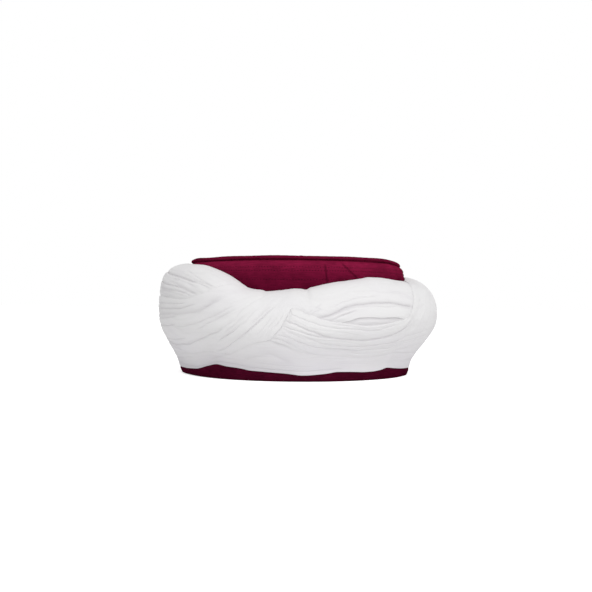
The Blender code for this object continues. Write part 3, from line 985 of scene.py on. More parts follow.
class Section:
    """The wrap's outline at one azimuth, and the line inside it that depths are measured to."""

    def __init__(self, azimuth):
        lower, upper = (float(column(EDGES, index, azimuth)) for index in (1, 2))
        belly, out, shoulder, under = (
            float(column(BELLY, index, azimuth)) for index in (1, 2, 3, 4)
        )
        t = np.linspace(0.0, 1.0, OUTLINE_STEPS)
        ease = np.sin(np.pi / 2 * t)
        height = np.concatenate([lower + (belly - lower) * t, belly + (upper - belly) * ease[1:]])
        stand = out * np.concatenate([ease**under, np.sqrt(1 - ease[1:] ** shoulder)])
        self.azimuth = azimuth
        self.height = height * MM
        self.radius = cap_radius(self.height, azimuth) + GAP + stand * MM
        steps = np.hypot(np.diff(self.radius), np.diff(self.height))
        run = np.concatenate([[0.0], np.cumsum(steps)])
        self.girth = run[-1]
        self.share = run / self.girth
        self.belly = belly * MM

    def points(self, share, depth):
        """World places at shares of the girth and depths under the outline, both in arrays."""
        radius = np.interp(share, self.share, self.radius)
        height = np.interp(share, self.share, self.height)
        spine_height = self.belly + SPINE_PULL * (height - self.belly)
        spine_radius = cap_radius(spine_height, self.azimuth) + GAP
        reach = np.hypot(spine_radius - radius, spine_height - height)
        inward = np.minimum(depth / reach, DEEPEST_SHARE)
        radius = radius + (spine_radius - radius) * inward
        height = height + (spine_height - height) * inward
        x, y, _ = on_oval(self.azimuth, radius, height)
        return np.stack([x, y, height], axis=-1)


print("girth at the front", round(Section(0.0).girth / MM, 1), "mm")

# %% [markdown]
# Where each turn lies is a share of that girth, from the wrap's lower edge (0) to its upper edge
# (1). The pleats run between a first and a last fold, and a turn's edge may cut across them, as
# the folded right edge of the fan does. A fold keeps one place between them all the way round.
# The rows for the camera side were worked out by a separate script from edges read by eye on a
# picture, and many then moved by hand. The rows for the back are made up.

# %% Where the turns lie
# Columns: azimuth, lower edge, upper edge, first fold, last fold, and how thick the cloth is at
# its lower and its upper edge, in millimetres.
SWEEP_COURSE = (
    (-170, 0.505, 1.00, 0.505, 1.00, 1.0, 1.8),
    (-150, 0.48, 1.00, 0.49, 1.00, 1.0, 1.8),
    (-90, 0.48, 1.00, 0.46, 1.02, 1.0, 1.8),
    (-68, 0.48, 1.00, 0.45, 0.99, 1.0, 1.8),
    (-50, 0.46, 1.00, 0.44, 0.96, 1.0, 1.8),
    (-38, 0.44, 1.00, 0.43, 0.93, 1.0, 1.8),
    (-28, 0.42, 1.00, 0.42, 0.88, 1.0, 1.6),
    (-18, 0.41, 0.96, 0.40, 0.82, 1.0, 1.2),
    (-9.6, 0.385, 0.80, 0.385, 0.75, 0.9, 0.8),
    (-5, 0.352, 0.74, 0.362, 0.703, 0.9, 0.7),
    (-2, 0.313, 0.70, 0.32, 0.67, 0.7, 0.6),
    (-1.25, 0.303, 0.668, 0.312, 0.667, 0.6, 0.6),
    (2, 0.275, 0.640, 0.28, 0.65, 0.2, 0.6),
    (6, 0.243, 0.603, 0.243, 0.60, 0.05, 0.6),
    (9, 0.22, 0.565, 0.22, 0.565, 0.03, 0.7),
    (13, 0.20, 0.528, 0.20, 0.537, 0.03, 0.8),
    (20, 0.17, 0.492, 0.17, 0.50, 0.03, 1.0),
    (28, 0.15, 0.465, 0.15, 0.468, 0.03, 1.1),
    (35, 0.158, 0.468, 0.158, 0.470, 0.03, 1.1),
    (40, 0.165, 0.485, 0.165, 0.475, 0.03, 0.9),
    (46, 0.185, 0.503, 0.185, 0.50, 0.03, 0.3),
    (50, 0.20, 0.585, 0.20, 0.60, 0.03, 0.06),
    (53, 0.212, 0.69, 0.212, 0.69, 0.03, 0.05),
    (56, 0.225, 0.77, 0.225, 0.78, 0.03, 0.04),
    (62, 0.25, 0.88, 0.25, 0.95, 0.03, 0.05),
    (70, 0.276, 0.96, 0.276, 0.992, 0.05, 0.3),
    (78, 0.295, 1.00, 0.295, 1.00, 0.1, 1.5),
    (90, 0.33, 1.00, 0.33, 1.00, 0.3, 1.8),
    (120, 0.43, 1.00, 0.43, 1.00, 0.8, 1.8),
    (150, 0.47, 1.00, 0.47, 1.00, 1.0, 1.8),
    (170, 0.505, 1.00, 0.505, 1.00, 1.0, 1.8),
)
FAN_COURSE = (
    (-170, 0.20, 0.506, 0.20, 0.495, 0.8, 1.0),
    (-120, 0.18, 0.55, 0.16, 0.50, 0.5, 0.9),
    (-92, 0.16, 0.585, 0.10, 0.505, 0.15, 0.9),
    (-70, 0.15, 0.600, -0.05, 0.525, 0.08, 0.8),
    (-50, 0.14, 0.590, -0.18, 0.575, 0.04, 0.8),
    (-44, 0.137, 0.608, -0.17, 0.61, 0.03, 0.35),
    (-38, 0.135, 0.66, -0.16, 0.66, 0.03, 0.05),
    (-33, 0.137, 0.74, -0.127, 0.733, 0.03, 0.04),
    (-30, 0.14, 0.80, -0.10, 0.78, 0.03, 0.04),
    (-23, 0.225, 0.95, 0.02, 0.93, 0.03, 0.3),
    (-17, 0.313, 1.00, 0.15, 1.03, 0.08, 1.2),
    (-12, 0.369, 1.00, 0.296, 1.07, 0.3, 1.4),
    (-9.6, 0.384, 1.00, 0.385, 1.08, 0.6, 1.5),
    (-7, 0.445, 1.00, 0.48, 1.07, 0.7, 1.5),
    (-5.2, 0.492, 1.00, 0.555, 1.058, 0.7, 1.5),
    (-3.2, 0.578, 1.00, 0.645, 1.04, 0.7, 1.5),
    (-2.2, 0.622, 1.00, 0.665, 1.03, 0.7, 1.5),
    (-1.25, 0.668, 1.00, 0.669, 1.023, 0.7, 1.5),
    (0, 0.640, 1.00, 0.664, 1.01, 0.6, 1.5),
    (2, 0.615, 1.00, 0.65, 1.00, 0.7, 1.5),
    (6, 0.575, 1.00, 0.559, 1.00, 0.8, 1.5),
    (9, 0.540, 1.00, 0.51, 1.00, 0.9, 1.5),
    (13, 0.505, 1.00, 0.482, 1.00, 1.0, 1.5),
    (16, 0.497, 1.00, 0.484, 1.00, 1.0, 1.5),
    (18, 0.505, 1.00, 0.491, 1.00, 0.8, 1.5),
    (20, 0.513, 1.00, 0.50, 1.00, 0.7, 1.5),
    (24, 0.536, 1.00, 0.523, 1.00, 0.7, 1.5),
    (28, 0.534, 1.00, 0.522, 1.00, 0.7, 1.5),
    (35, 0.521, 1.00, 0.510, 1.00, 0.7, 1.5),
    (40, 0.518, 1.00, 0.506, 1.00, 0.7, 1.5),
    (46, 0.492, 1.00, 0.484, 1.00, 0.8, 1.5),
    (56, 0.47, 1.00, 0.46, 1.00, 0.9, 1.5),
    (70, 0.42, 0.95, 0.42, 0.95, 0.9, 1.4),
    (90, 0.34, 0.82, 0.34, 0.82, 0.8, 1.2),
    (115, 0.27, 0.66, 0.27, 0.66, 0.8, 1.2),
    (140, 0.22, 0.55, 0.22, 0.53, 0.8, 1.2),
    (170, 0.20, 0.506, 0.20, 0.495, 0.8, 1.0),
)
LOWER_COURSE = (
    (-150, 0.0, 0.56, 0.0, 0.56, 2.4, 1.2),
    (0, 0.0, 0.56, 0.0, 0.56, 2.4, 1.2),
)
print("the fan spans", FAN_COURSE[12][1:3], "of the girth near the crossing")

# %% [markdown]
# The folds themselves are drawn one by one, as a tailor would chalk them: each is a line of a few
# points, azimuth against its place across the turn, with a depth and a width. Some run round
# the back of the head, others die out. On the camera side their places were read by eye from a
# picture, turned into azimuths and shares by a separate script, and many then moved by hand.
# The back is made up, and carries the folds round evenly.

# %% The folds
# Two lines that more than one fold follows: the opening between fan and sweep, and the back.
EYE_LINE = ((17, 0.90), (24, 0.90), (30, 0.885), (35, 0.885), (40, 0.90), (47, 0.90))
BACK_LINE = ((90, 0.68), (200, 0.70), (260, 0.64), (281.5, 0.63), (297, 0.63), (307.5, 0.62),
             (313, 0.61))
# Columns: depth and width in millimetres, then the line's points (azimuth, place across).
SWEEP_FOLDS = (
    (0.5, 0.6, ((-6, 0.86), (-1.5, 0.85), (1.5, 0.81), (6, 0.85), (16, 0.83), (20.5, 0.85),
                (24, 0.88), (33, 0.86), (35, 0.89), (38, 0.93), (42, 0.96))),
    (0.9, 0.9, ((-8, 0.68), (-3.8, 0.65), (-1.2, 0.65), (1.8, 0.62), (7, 0.64), (10.8, 0.60),
                (14, 0.58), (18.8, 0.56), (23, 0.575), (29.5, 0.595), (33, 0.61), (36.2, 0.63),
                (40, 0.67), (43.5, 0.71), (46, 0.76), (48.5, 0.77), (50.5, 0.80))),
    (0.7, 0.6, ((-9, 0.47), (-5, 0.47), (-3.5, 0.49), (1.5, 0.50), (5.5, 0.54), (12, 0.56),
                (15, 0.58))),
    (0.45, 0.5, ((-6, 0.37), (-3.8, 0.37), (-1, 0.38), (1.8, 0.37), (5, 0.37))),
    (0.45, 0.6, ((-10, 0.14), (-7, 0.16), (-3.5, 0.23), (6.5, 0.26), (16.5, 0.22), (32, 0.26),
                 (37, 0.25), (42.5, 0.20), (49, 0.20))),
    (0.5, 0.6, ((2, 0.44), (6, 0.43), (11, 0.38), (21, 0.34), (27.5, 0.39), (35.5, 0.40),
                (43.5, 0.38), (49, 0.41))),
    (0.45, 0.5, ((-11, 0.05), (-7, 0.08), (-3, 0.10), (1, 0.12))),
    (0.35, 0.5, ((13, 0.92), (18.5, 0.92), (21, 0.92))),
    (0.25, 1.5, ((43, 0.65), (47.5, 0.77), (51, 0.77), (54.5, 0.74), (58, 0.76), (62, 0.77))),
    (-0.3, 1.2, ((49, 0.42), (54.8, 0.51), (58.2, 0.54), (61.5, 0.60), (70, 0.69), (76, 0.72))),
    (0.25, 1.5, ((53, 0.03), (58.5, 0.22), (61.2, 0.33), (64.8, 0.42), (68.2, 0.55), (75, 0.66))),
    (0.6, 0.8, ((105, 0.85), (130, 0.86), (200, 0.87), (270, 0.86))),
    (0.9, 0.8, ((95, 0.30), (120, 0.34), (200, 0.30), (240, 0.28))),
    (0.6, 0.6, ((95, 0.47), (120, 0.50), (200, 0.50), (230, 0.50))),
    (0.6, 1.0, (*BACK_LINE, (318, 0.61))),
    (0.6, 0.8, (*BACK_LINE, (321, 0.61), (328.5, 0.61))),
    (0.4, 0.5, ((303, 0.69), (310, 0.67), (316, 0.65), (322, 0.64), (327, 0.64))),
    (0.5, 0.5, ((305, 0.77), (308.5, 0.75), (314.5, 0.71), (318.5, 0.68), (323.5, 0.66),
                (329, 0.66))),
    (0.4, 0.5, ((296, 0.57), (305, 0.57), (313, 0.55), (318, 0.53), (323, 0.51))),
    (0.9, 0.6, ((100, 0.56), (150, 0.55), (220, 0.50), (286, 0.47), (301, 0.47), (308, 0.47),
                (314, 0.44), (317, 0.43), (320, 0.41), (322, 0.40))),
    (0.7, 0.5, ((270, 0.40), (293, 0.40), (306, 0.41), (312, 0.40), (317, 0.37), (319, 0.36))),
    (0.5, 0.5, ((280, 0.38), (287, 0.38), (299, 0.38), (304, 0.38))),
    (0.5, 0.5, ((285, 0.36), (300, 0.36), (308, 0.36), (312, 0.36), (315, 0.35))),
    (0.5, 0.5, ((296, 0.52), (303, 0.51), (309, 0.49), (314, 0.46), (318, 0.44), (321, 0.43))),
    (0.6, 0.6, ((120, 0.42), (200, 0.40), (260, 0.36), (284, 0.34), (298, 0.32), (306, 0.32))),
)
FAN_FOLDS = (
    (0.7, 0.6, ((-90, 1.06), (-67, 1.04), (-56, 1.00), (-50, 0.98), (-45, 0.97))),
    (0.8, 0.7, ((-80, 0.99), (-60, 0.96), (-52.5, 0.94), (-47.5, 0.93), (-43, 0.92), (-39, 0.91))),
    (0.8, 2.0, ((-95, 0.90), (-72, 0.91), (-57.5, 0.91), (-48, 0.88), (-41, 0.85), (-38.5, 0.84),
                (-36, 0.85), (-34, 0.86), (-31, 0.88), (-28, 0.89))),
    (0.7, 0.6, ((-110, 0.79), (-80, 0.82), (-66, 0.85), (-57.5, 0.86), (-50, 0.86))),
    (0.7, 0.6, ((-105, 0.69), (-74, 0.73), (-59, 0.77), (-52, 0.78))),
    (0.5, 0.5, ((-90, 0.50), (-67.5, 0.55), (-54.5, 0.61), (-48, 0.62))),
    (0.45, 0.5, ((-42, 0.84), (-36, 0.85), (-33, 0.84), (-30, 0.85), (-26, 0.86))),
    (0.6, 0.5, ((-56, 0.76), (-50, 0.75), (-40, 0.72), (-35, 0.72), (-26, 0.71), (-21, 0.70))),
    (0.6, 0.5, ((-42, 0.66), (-38, 0.66), (-35, 0.67), (-29, 0.67), (-25, 0.66), (-20, 0.66))),
    (0.9, 0.6, ((-175, 0.52), (-120, 0.50), (-80, 0.47), (-65, 0.48), (-55, 0.54), (-43, 0.54),
                (-37, 0.55), (-34, 0.56), (-30.5, 0.55), (-25, 0.55))),
    (0.9, 0.5, ((-33, 0.46), (-26.5, 0.46), (-23, 0.45), (-20, 0.47), (-17, 0.48))),
    (0.6, 0.5, ((-28, 0.50), (-22, 0.50), (-21, 0.52), (-18, 0.54))),
    (0.7, 0.5, ((-36, 0.35), (-26, 0.34), (-20, 0.35), (-16.5, 0.35), (-12.5, 0.37), (-6, 0.38))),
    (0.6, 0.5, ((-22, 0.345), (-18, 0.34), (-14.5, 0.36), (-11, 0.38), (-9.5, 0.38), (-6, 0.38))),
    (0.5, 0.5, ((-17, 0.40), (-14, 0.41), (-11.5, 0.43), (-8, 0.45))),
    (0.4, 0.5, ((-25, 0.235), (-24, 0.23), (-18.2, 0.20), (-14, 0.15), (-11, 0.08))),
    (0.5, 0.5, ((-27, 0.55), (-23.5, 0.55), (-22, 0.56), (-20.5, 0.60), (-18, 0.64))),
    (0.5, 0.5, ((-21, 0.45), (-18, 0.46), (-16, 0.50), (-13, 0.54))),
    (0.45, 0.5, ((-15, 0.24), (-11.5, 0.24), (-9.8, 0.25), (-7, 0.26))),
    (0.45, 0.5, ((-14, 0.18), (-10.5, 0.17), (-7.5, 0.16), (-5, 0.16))),
    (0.45, 0.5, ((-12, 0.08), (-8, 0.10), (-6.5, 0.06), (-4, 0.04))),
    (1.3, 1.2, ((5, 0.05), (8.2, 0.12), (10.8, 0.18), (14.5, 0.23), (18.5, 0.28), (21.2, 0.28),
                (25.5, 0.27), (31.2, 0.285), (38.2, 0.275), (44.8, 0.255), (50, 0.25), (58, 0.25))),
    (0.5, 0.5, ((8, 0.12), (13.8, 0.19), (18.5, 0.24), (21, 0.24), (24.5, 0.22), (30, 0.22),
                (38, 0.20), (43.5, 0.22), (49, 0.20), (54, 0.19))),
    (0.9, 0.6, ((10, 0.08), (13.8, 0.12), (15.2, 0.14), (17, 0.16), (20.2, 0.165), (24, 0.17))),
    (-0.3, 0.6, ((11, 0.12), (13.8, 0.15), (16.2, 0.19), (20.2, 0.19), (24.2, 0.18), (27, 0.18))),
    (0.5, 0.5, ((10, 0.30), (15, 0.34), (18, 0.38), (22, 0.39), (28, 0.40), (36, 0.41))),
    (0.3, 0.6, ((20, 0.55), (26.5, 0.54), (32.5, 0.52), (35, 0.48), (38, 0.46))),
    (0.4, 0.6, ((36, 0.47), (45.5, 0.47), (48, 0.45), (52, 0.39), (55, 0.36))),
    (0.5, 0.5, ((6.5, 0.26), (7.8, 0.30), (9, 0.36), (10, 0.40))),
    (0.5, 0.5, ((3.2, 0.01), (3.8, 0.03), (5, 0.14), (6, 0.22), (6.6, 0.26))),
    (0.45, 0.5, ((1.5, 0.0), (2, 0.02), (3, 0.07), (3.5, 0.10))),
    (0.5, 0.5, ((5, 0.08), (5.8, 0.12), (7.2, 0.21), (9, 0.28), (10, 0.31))),
    (0.6, 1.0, ((-182.5, 0.30), (-120, 0.32), (-90, 0.38), (-66, 0.43), (-57, 0.45))),
    (0.6, 1.0, ((-215, 0.70), (-180, 0.72), (-150, 0.74), (-110, 0.76))),
    (0.6, 1.0, ((70, 0.2), (110, 0.22), (150, 0.26), (182.5, 0.30))),
    (0.7, 1.0, ((70, 0.5), (110, 0.5), (150, 0.51), (190, 0.52))),
)
# The same columns, for where the low turn is only in shade: drawn in under the belly, and in
# the narrow opening between the fan and the sweep.
LOWER_SHADES = (
    (1.7, 4.5, ((-110, 0.0), (-60, 0.0), (-45, 0.02), (-35, 0.02), (-20, -0.02), (3, -0.06))),
    (0.7, 5.0, ((44, 0.0), (52, 0.03), (60, 0.03), (80, 0.02), (120, 0.0))),
    (0.2, 3.0, EYE_LINE),
    (0.8, 1.5, ((17, 0.905), (20, 0.915), (24, 0.95), (28, 0.95), (35, 0.928), (40, 0.92),
                (46, 0.875))),
)
LOWER_FOLDS = (
    (0.4, 3.0, ((-23, 0.22), (-18.5, 0.295), (-13.8, 0.38), (-10.2, 0.43), (-8.8, 0.415),
                (-5.8, 0.34), (-3.5, 0.28), (1, 0.24))),
    (0.5, 0.6, ((-41, 0.09), (-38, 0.116), (-32.2, 0.20), (-28, 0.27), (-24, 0.35))),
    (0.3, 3.0, EYE_LINE),
    (0.3, 0.5, ((-18, 0.17), (-9.5, 0.165), (-5, 0.15), (-0.8, 0.17), (4.8, 0.175), (9, 0.17))),
    (0.6, 0.5, ((-42, 0.05), (-37, 0.055), (-33, 0.08), (-18, 0.066), (-6, 0.06), (2.5, 0.08),
                (11, 0.08), (18, 0.06), (24, 0.05))),
    (0.5, 0.6, ((-80, 0.07), (-70, 0.07), (-60, 0.05), (-44, 0.03), (-38, 0.03))),
    (0.3, 0.5, ((-70, 0.18), (-65, 0.18), (-55, 0.18), (-50, 0.18))),
    (0.3, 0.5, ((5, 0.35), (8.5, 0.35), (10, 0.345), (13, 0.33))),
    (0.3, 0.5, ((10, 0.32), (12.8, 0.30), (19.2, 0.25), (23, 0.23))),
    (0.4, 0.9, ((30, 0.28), (90, 0.30), (180, 0.34), (280, 0.32))),
    (0.4, 0.9, ((60, 0.16), (120, 0.17), (200, 0.16), (270, 0.15), (300, 0.16))),
)
print("folds drawn:", len(SWEEP_FOLDS) + len(FAN_FOLDS) + len(LOWER_FOLDS))

# %% [markdown]
# The depth of the cloth under the outline is worked out on a fine chart of the wrap: rows are
# azimuths, columns are shares of the girth. On it a fold is a narrow valley with a sharp bottom,
# steeper on its lower side, because each pleat laps a little over the one below.

# %% The chart and its folds
CHART_ROWS = 1440
CHART_COLUMNS = 560
ROW_AZIMUTH = (np.arange(CHART_ROWS) * 360.0 / CHART_ROWS - 180.0)[:, None]
COLUMN_SHARE = np.linspace(0.0, 1.0, CHART_COLUMNS)[None, :]
MEAN_RADIUS = RADIUS + 14 * MM
MEAN_GIRTH = float(np.mean([Section(azimuth).girth for azimuth in range(-180, 180, 15)]))
ROW_STEP = math.radians(360.0 / CHART_ROWS) * MEAN_RADIUS
COLUMN_STEP = MEAN_GIRTH / (CHART_COLUMNS - 1)
FOLD_FADE = 5.0
FOLD_FADE_SHARE = 0.3
LAP = 0.55


def valley(distance, width):
    """1 in the fold and falling off to both sides, faster below it than above."""
    distance = distance + 0.5 * width
    wide = np.where(distance > 0, width, width * LAP)
    return np.exp(-np.abs(distance) / wide)


def ease(value):
    value = np.clip(value, 0.0, 1.0)
    return value * value * (3 - 2 * value)


class Course:
    """A turn's edges, the place of every point of the chart across it, and that place in metres."""

    def __init__(self, rows):
        names = ("low", "high", "first", "last", "low_edge", "high_edge")
        for index, name in enumerate(names, 1):
            setattr(self, name, column(rows, index, ROW_AZIMUTH))
        self.across = (COLUMN_SHARE - self.first) / (self.last - self.first)
        slope_rows = (np.roll(self.across, -1, 0) - np.roll(self.across, 1, 0)) / (2 * ROW_STEP)
        slope_columns = np.gradient(self.across, COLUMN_STEP, axis=1)
        self.scale = 1.0 / np.hypot(slope_rows, slope_columns)
        self.inside = (COLUMN_SHARE >= self.low) & (COLUMN_SHARE <= self.high)
        self.to_low = (COLUMN_SHARE - self.low) * MEAN_GIRTH
        self.to_high = (self.high - COLUMN_SHARE) * MEAN_GIRTH


def fold_relief(course, folds):
    relief = np.zeros((CHART_ROWS, CHART_COLUMNS))
    for depth, width, line in folds:
        azimuths = [point[0] for point in line]
        places = [point[1] for point in line]
        dying = min(FOLD_FADE, FOLD_FADE_SHARE * (azimuths[-1] - azimuths[0]))
        for turn in (-360.0, 0.0, 360.0):
            here = ROW_AZIMUTH + turn
            fade = ease((here - azimuths[0]) / dying) * ease((azimuths[-1] - here) / dying)
            if not fade.any():
                continue
            centre = np.interp(here[:, 0], azimuths, places)[:, None]
            distance = (course.across - centre) * course.scale
            relief += depth * MM * fade * valley(distance, width * MM)
    return relief


sweep = Course(SWEEP_COURSE)
fan = Course(FAN_COURSE)
lower = Course(LOWER_COURSE)
fold_depths = {
    "sweep": fold_relief(sweep, SWEEP_FOLDS),
    "fan": fold_relief(fan, FAN_FOLDS),
    "lower": fold_relief(lower, LOWER_FOLDS),
}
for name, depths in fold_depths.items():
    print(name, "folds reach", round(float(depths.max()) / MM, 2), "mm deep")

# %% [markdown]
# Between the drawn folds, thin cloth under tension forms many faint creases of its own, which run
# along the pleats and wander. Noise that is stretched along the turn gives them: wherever it
# crosses zero there is a thin valley. A second, broader noise lets the surface swell and sink.

# %% Fine creases
NOISE_COLUMNS = 160
LEAST_WIDTH = 0.03
# Each kind of noise: pitch across the turn in metres, length along it in degrees.
CREASES = (5.2 * MM, 24.0)
HAIRS = (2.6 * MM, 16.0)
SWELLS = (11.0 * MM, 30.0)
STRENGTHS = (24.0 * MM, 45.0)
# How deep each is, as a share of the amount, and how wide a crease is in noise values.
CREASE_SHARE = 0.55
CREASE_HALF = 0.22
HAIR_SHARE = 0.22
HAIR_HALF = 0.30
SWELL_SHARE = 0.45


def along_noise(course, seed, pitch, length):
    """Noise from -1 to 1 in streaks along a turn: pitch in metres across, length in degrees."""
    cells = int(round(360.0 / length))
    table = np.random.default_rng(seed).uniform(-1, 1, (cells, NOISE_COLUMNS))
    row = (ROW_AZIMUTH + 180.0) / 360.0 * cells
    width = (course.last - course.first) * MEAN_GIRTH
    place = course.across * np.maximum(width, LEAST_WIDTH) / pitch + NOISE_COLUMNS / 2
    row_low = np.floor(row).astype(int)
    place_low = np.floor(place).astype(int)
    row_part = ease(row - row_low)
    place_part = ease(place - place_low)

    def corner(row_step, place_step):
        return table[(row_low + row_step) % cells, (place_low + place_step) % NOISE_COLUMNS]

    before = corner(0, 0) * (1 - place_part) + corner(0, 1) * place_part
    after = corner(1, 0) * (1 - place_part) + corner(1, 1) * place_part
    return before * (1 - row_part) + after * row_part


def fine_relief(course, seed, amount):
    """The creases' depth, and the swell's."""
    creases = along_noise(course, seed, *CREASES)
    hairs = along_noise(course, seed + 1, *HAIRS)
    swell = along_noise(course, seed + 2, *SWELLS)
    strength = 0.55 + 0.45 * along_noise(course, seed + 3, *STRENGTHS)
    relief = CREASE_SHARE * np.maximum(0.0, 1 - np.abs(creases) / CREASE_HALF) * strength
    relief += HAIR_SHARE * np.maximum(0.0, 1 - np.abs(hairs) / HAIR_HALF) * strength
    return amount * relief * MM, amount * SWELL_SHARE * (0.5 + 0.5 * swell) * MM


fine_depths = {
    "sweep": fine_relief(sweep, 11, 0.45),
    "fan": fine_relief(fan, 23, 0.40),
    "lower": fine_relief(lower, 37, 0.28),
}
creases = {name: fold_depths[name] + fine_depths[name][0] for name in fold_depths}
relief = {name: creases[name] + fine_depths[name][1] for name in fold_depths}
# The low turn's painted shade goes into its creases only: it darkens the colour and moves no cloth.
creases["lower"] = creases["lower"] + fold_relief(lower, LOWER_SHADES)
print("fine creases are at most", round(float(fine_depths["sweep"][0].max()) / MM, 2), "mm deep")

# %% [markdown]
# Now the turns are laid on each other. On the -X side the fan lies over the sweep, and on the +X
# side the sweep lies over the fan: they change places at the crossing and again at the back. A
# turn that lies under another keeps below its underside, and comes up slowly beside its edge, so
# the upper turn's edge stands a cloth's thickness proud.

# %% Laying the turns
TURN_MIDDLE = 4.2 * MM
LOWER_MIDDLE = 3.4 * MM
THIN_OUT = 14 * MM
LAY_GAP = 0.06 * MM
THIN_FIRST = 0.4 * MM
COME_UP = 2.6 * MM
CROSSING = -1.25


def blurred(field, width):
    """A field evened out over a width in metres, wrapping round the head."""
    for axis, step in ((0, ROW_STEP), (1, COLUMN_STEP)):
        sigma = width / step
        reach = int(math.ceil(2.5 * sigma))
        offsets = np.arange(-reach, reach + 1)
        weights = np.exp(-0.5 * (offsets / sigma) ** 2)
        weights /= weights.sum()
        pad = [(0, 0), (0, 0)]
        pad[axis] = (reach, reach)
        padded = np.pad(field, pad, mode="wrap" if axis == 0 else "edge")
        size = field.shape[axis]
        field = sum(
            weight * np.take(padded, np.arange(start, start + size), axis=axis)
            for start, weight in enumerate(weights)
        )
    return field


def thickness(course, middle):
    """How thick a turn is over the chart, thinning out towards both its edges."""
    parts = []
    for edge, inward in ((course.low_edge, course.to_low), (course.high_edge, course.to_high)):
        parts.append(edge * MM + (middle - edge * MM) * ease(inward / THIN_OUT))
    return np.minimum(*parts)


def laid_under(relief, uppers):
    """Depth of a turn with this relief under these turns: (where they lie, their undersides)."""
    lies = np.zeros((CHART_ROWS, CHART_COLUMNS))
    floor = np.zeros((CHART_ROWS, CHART_COLUMNS))
    for inside, underside in uppers:
        floor = np.where(inside, np.maximum(floor, underside + LAY_GAP), floor)
        lies = np.maximum(lies, inside)
    near = ease(2 * np.minimum(blurred(lies, COME_UP), 0.5))
    weight = lies * np.exp(-floor / THIN_FIRST)
    beside = blurred(floor * weight, COME_UP) / np.maximum(blurred(weight, COME_UP), 1e-9)
    return np.where(lies > 0, floor, near * beside) + relief * (1 - near)


plus_side = (ROW_AZIMUTH >= CROSSING) & (ROW_AZIMUTH < 180)
outer = {}
under = {}
sweep_on_top = sweep.inside & plus_side
fan_on_top = fan.inside & ~plus_side
sweep_first = relief["sweep"] + thickness(sweep, TURN_MIDDLE)
fan_first = relief["fan"] + thickness(fan, TURN_MIDDLE)
sweep_laid = laid_under(relief["sweep"], [(fan_on_top, fan_first)])
fan_laid = laid_under(relief["fan"], [(sweep_on_top, sweep_first)])
outer["sweep"] = np.where(plus_side, relief["sweep"], sweep_laid)
outer["fan"] = np.where(plus_side, fan_laid, relief["fan"])
under["sweep"] = outer["sweep"] + thickness(sweep, TURN_MIDDLE)
under["fan"] = outer["fan"] + thickness(fan, TURN_MIDDLE)
both = [(sweep.inside, under["sweep"]), (fan.inside, under["fan"])]
outer["lower"] = laid_under(relief["lower"], both)
under["lower"] = outer["lower"] + thickness(lower, LOWER_MIDDLE)
both.append((lower.inside, under["lower"]))
print("the lower turn lies up to", round(float(outer["lower"].max()) / MM, 1), "mm deep")

# %% [markdown]
# Each turn becomes one closed ring of cloth. At every station round the head its section runs
# along the outside from the lower edge to the upper one, rolls over, and comes back along the
# underside. Stations are closest where the two turns cross, because folds climb steeply there.

# %% Turning the chart into cloth
# Columns: from, to (azimuths in degrees), number of stations.
STATIONS = ((-105, -38, 120), (-38, 12, 150), (12, 68, 120), (68, 105, 50), (105, 255, 120))
OUTSIDE_POINTS = 154
UNDERSIDE_POINTS = 20
EDGE_CROWDING = 0.55
DEEP_FOLD = 1.4 * MM
SOFTEN = 0.3 * MM
STRIP_WIDTH = 0.07


def station_azimuths():
    return [
        start + (end - start) * number / count
        for start, end, count in STATIONS
        for number in range(count)
    ]


def at_row(field, azimuth):
    """The chart's values along one azimuth, between its rows."""
    row = (azimuth + 180.0) % 360.0 * CHART_ROWS / 360.0
    before = int(math.floor(row))
    part = row - before
    first = field[before % CHART_ROWS]
    second = field[(before + 1) % CHART_ROWS]
    return first * (1 - part) + second * part


def spread(count):
    """Places from 0 to 1, closer together near both ends."""
    even = np.linspace(0.0, 1.0, count)
    crowded = 0.5 - 0.5 * np.cos(np.pi * even)
    return even + (crowded - even) * EDGE_CROWDING


def roll_in(distance, half):
    """How far a rounded edge has dropped, at a distance inside the edge."""
    inner = np.clip(1 - distance / half, 0.0, 1.0)
    return half * (1 - np.sqrt(1 - inner * inner))


def closed_loft(name, rings, lengths, widths, folds=None):
    """A ring of cloth through sections with the same number of points, and its UV map in metres.

    The folds say how deep in a fold each point lies, from 0 to 1.
    """
    count, size = rings.shape[:2]
    here = np.arange(count * size).reshape(count, size)
    after = np.roll(here, -1, axis=0)
    quads = np.stack([here, after, np.roll(after, -1, axis=1), np.roll(here, -1, axis=1)], axis=-1)
    mesh = bpy.data.meshes.new(name)
    mesh.from_pydata(rings.reshape(-1, 3).tolist(), [], quads.reshape(-1, 4).tolist())
    u = np.append(lengths, lengths[-1] + (lengths[-1] - lengths[-2]))
    v = np.concatenate([widths, widths[:, -1:] + 0.001], axis=1)
    v = np.concatenate([v, v[:1]], axis=0)
    corners = np.empty((count, size, 4, 2))
    for corner, (row_step, place_step) in enumerate(((0, 0), (1, 0), (1, 1), (0, 1))):
        corners[:, :, corner, 0] = u[row_step:row_step + count, None]
        corners[:, :, corner, 1] = v[row_step:row_step + count, place_step:place_step + size]
    layer = mesh.uv_layers.new(name="cloth")
    layer.data.foreach_set("uv", corners.reshape(-1))
    if folds is not None:
        mesh.attributes.new("fold", "FLOAT", "POINT").data.foreach_set("value", folds.reshape(-1))
    obj = bpy.data.objects.new(name, mesh)
    bpy.context.scene.collection.objects.link(obj)
    return obj


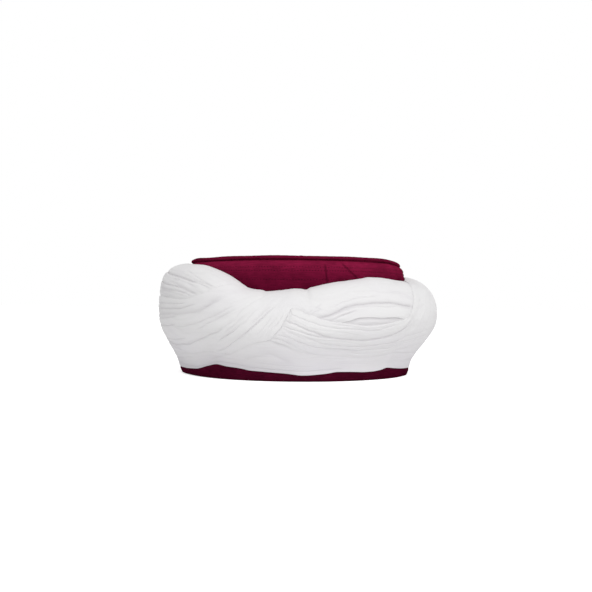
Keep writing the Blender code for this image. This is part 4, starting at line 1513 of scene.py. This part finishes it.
def make_turn(name, rows, outside, underside, creases):
    rings = []
    widths = []
    lengths = []
    folds = []
    for azimuth in STATION_AZIMUTHS:
        section = SECTIONS[azimuth]
        low, high, first, last, low_edge, high_edge = (
            float(column(rows, index, azimuth)) for index in range(1, 7)
        )
        shares = low + (high - low) * spread(OUTSIDE_POINTS)
        back = low + (high - low) * spread(UNDERSIDE_POINTS + 2)[1:-1]
        top = np.interp(shares, COLUMN_SHARE[0], at_row(outside, azimuth))
        bottom = np.interp(back, COLUMN_SHARE[0], at_row(underside, azimuth))
        to_low, to_high = (shares - low) * section.girth, (high - shares) * section.girth
        top = top + roll_in(to_low, low_edge * MM / 2) + roll_in(to_high, high_edge * MM / 2)
        ring_shares = np.concatenate([shares, back[::-1]])
        ring_depths = np.concatenate([top, bottom[::-1]])
        rings.append(section.points(ring_shares, ring_depths))
        widths.append((ring_shares - first) / (last - first) * STRIP_WIDTH)
        lengths.append(math.radians(azimuth) * MEAN_RADIUS)
        depth = np.interp(shares, COLUMN_SHARE[0], at_row(creases, azimuth))
        folds.append(np.concatenate([np.clip(depth / DEEP_FOLD, 0.0, 1.0), np.zeros(len(back))]))
    arrays = (np.array(part) for part in (rings, lengths, widths, folds))
    return closed_loft(name, *arrays)


STATION_AZIMUTHS = station_azimuths()
SECTIONS = {azimuth: Section(azimuth) for azimuth in STATION_AZIMUTHS}
turns = {
    "fan_turn": (FAN_COURSE, outer["fan"], under["fan"], blurred(creases["fan"], SOFTEN)),
    "sweep_turn": (SWEEP_COURSE, outer["sweep"], under["sweep"], blurred(creases["sweep"], SOFTEN)),
    "lower_turn": (LOWER_COURSE, outer["lower"], under["lower"], blurred(creases["lower"], SOFTEN)),
}
made = {name: make_turn(name, *parts) for name, parts in turns.items()}
for obj in made.values():
    smooth(obj, 180)
    finish_piece(obj, "wrap_" + obj.name, voile)

# %% [markdown]
# Under the turns that show, the first turns of the strip are wound flat on the cap. They carry
# the shape, so they are one thick ring that lies close to the cap and just under every turn.

# %% The inner turns
INNER_COURSE = (
    (-90, 0.26, 0.97),
    (-20, 0.28, 0.94),
    (20, 0.28, 0.94),
    (90, 0.26, 0.96),
)
INNER_POINTS = 40
INNER_CLEARANCE = 0.7 * MM
INNER_SOFTEN = 1.2 * MM


def make_inner(depths):
    rings = []
    widths = []
    lengths = []
    for azimuth in STATION_AZIMUTHS[::2]:
        section = SECTIONS[azimuth]
        low, high = (float(column(INNER_COURSE, index, azimuth)) for index in (1, 2))
        shares = np.linspace(low, high, INNER_POINTS)
        outside = np.interp(shares, COLUMN_SHARE[0], at_row(depths, azimuth)) + INNER_CLEARANCE
        cap_side = section.points(shares[::-1], np.ones(INNER_POINTS))
        rings.append(np.concatenate([section.points(shares, outside), cap_side]))
        widths.append(np.concatenate([shares, shares[::-1]]) * MEAN_GIRTH)
        lengths.append(math.radians(azimuth) * MEAN_RADIUS)
    return closed_loft("inner_turns", np.array(rings), np.array(lengths), np.array(widths))


inner = make_inner(blurred(laid_under(0.0, both), INNER_SOFTEN))
smooth(inner, 60)
finish_piece(inner, "wrap_inner_turns", voile)
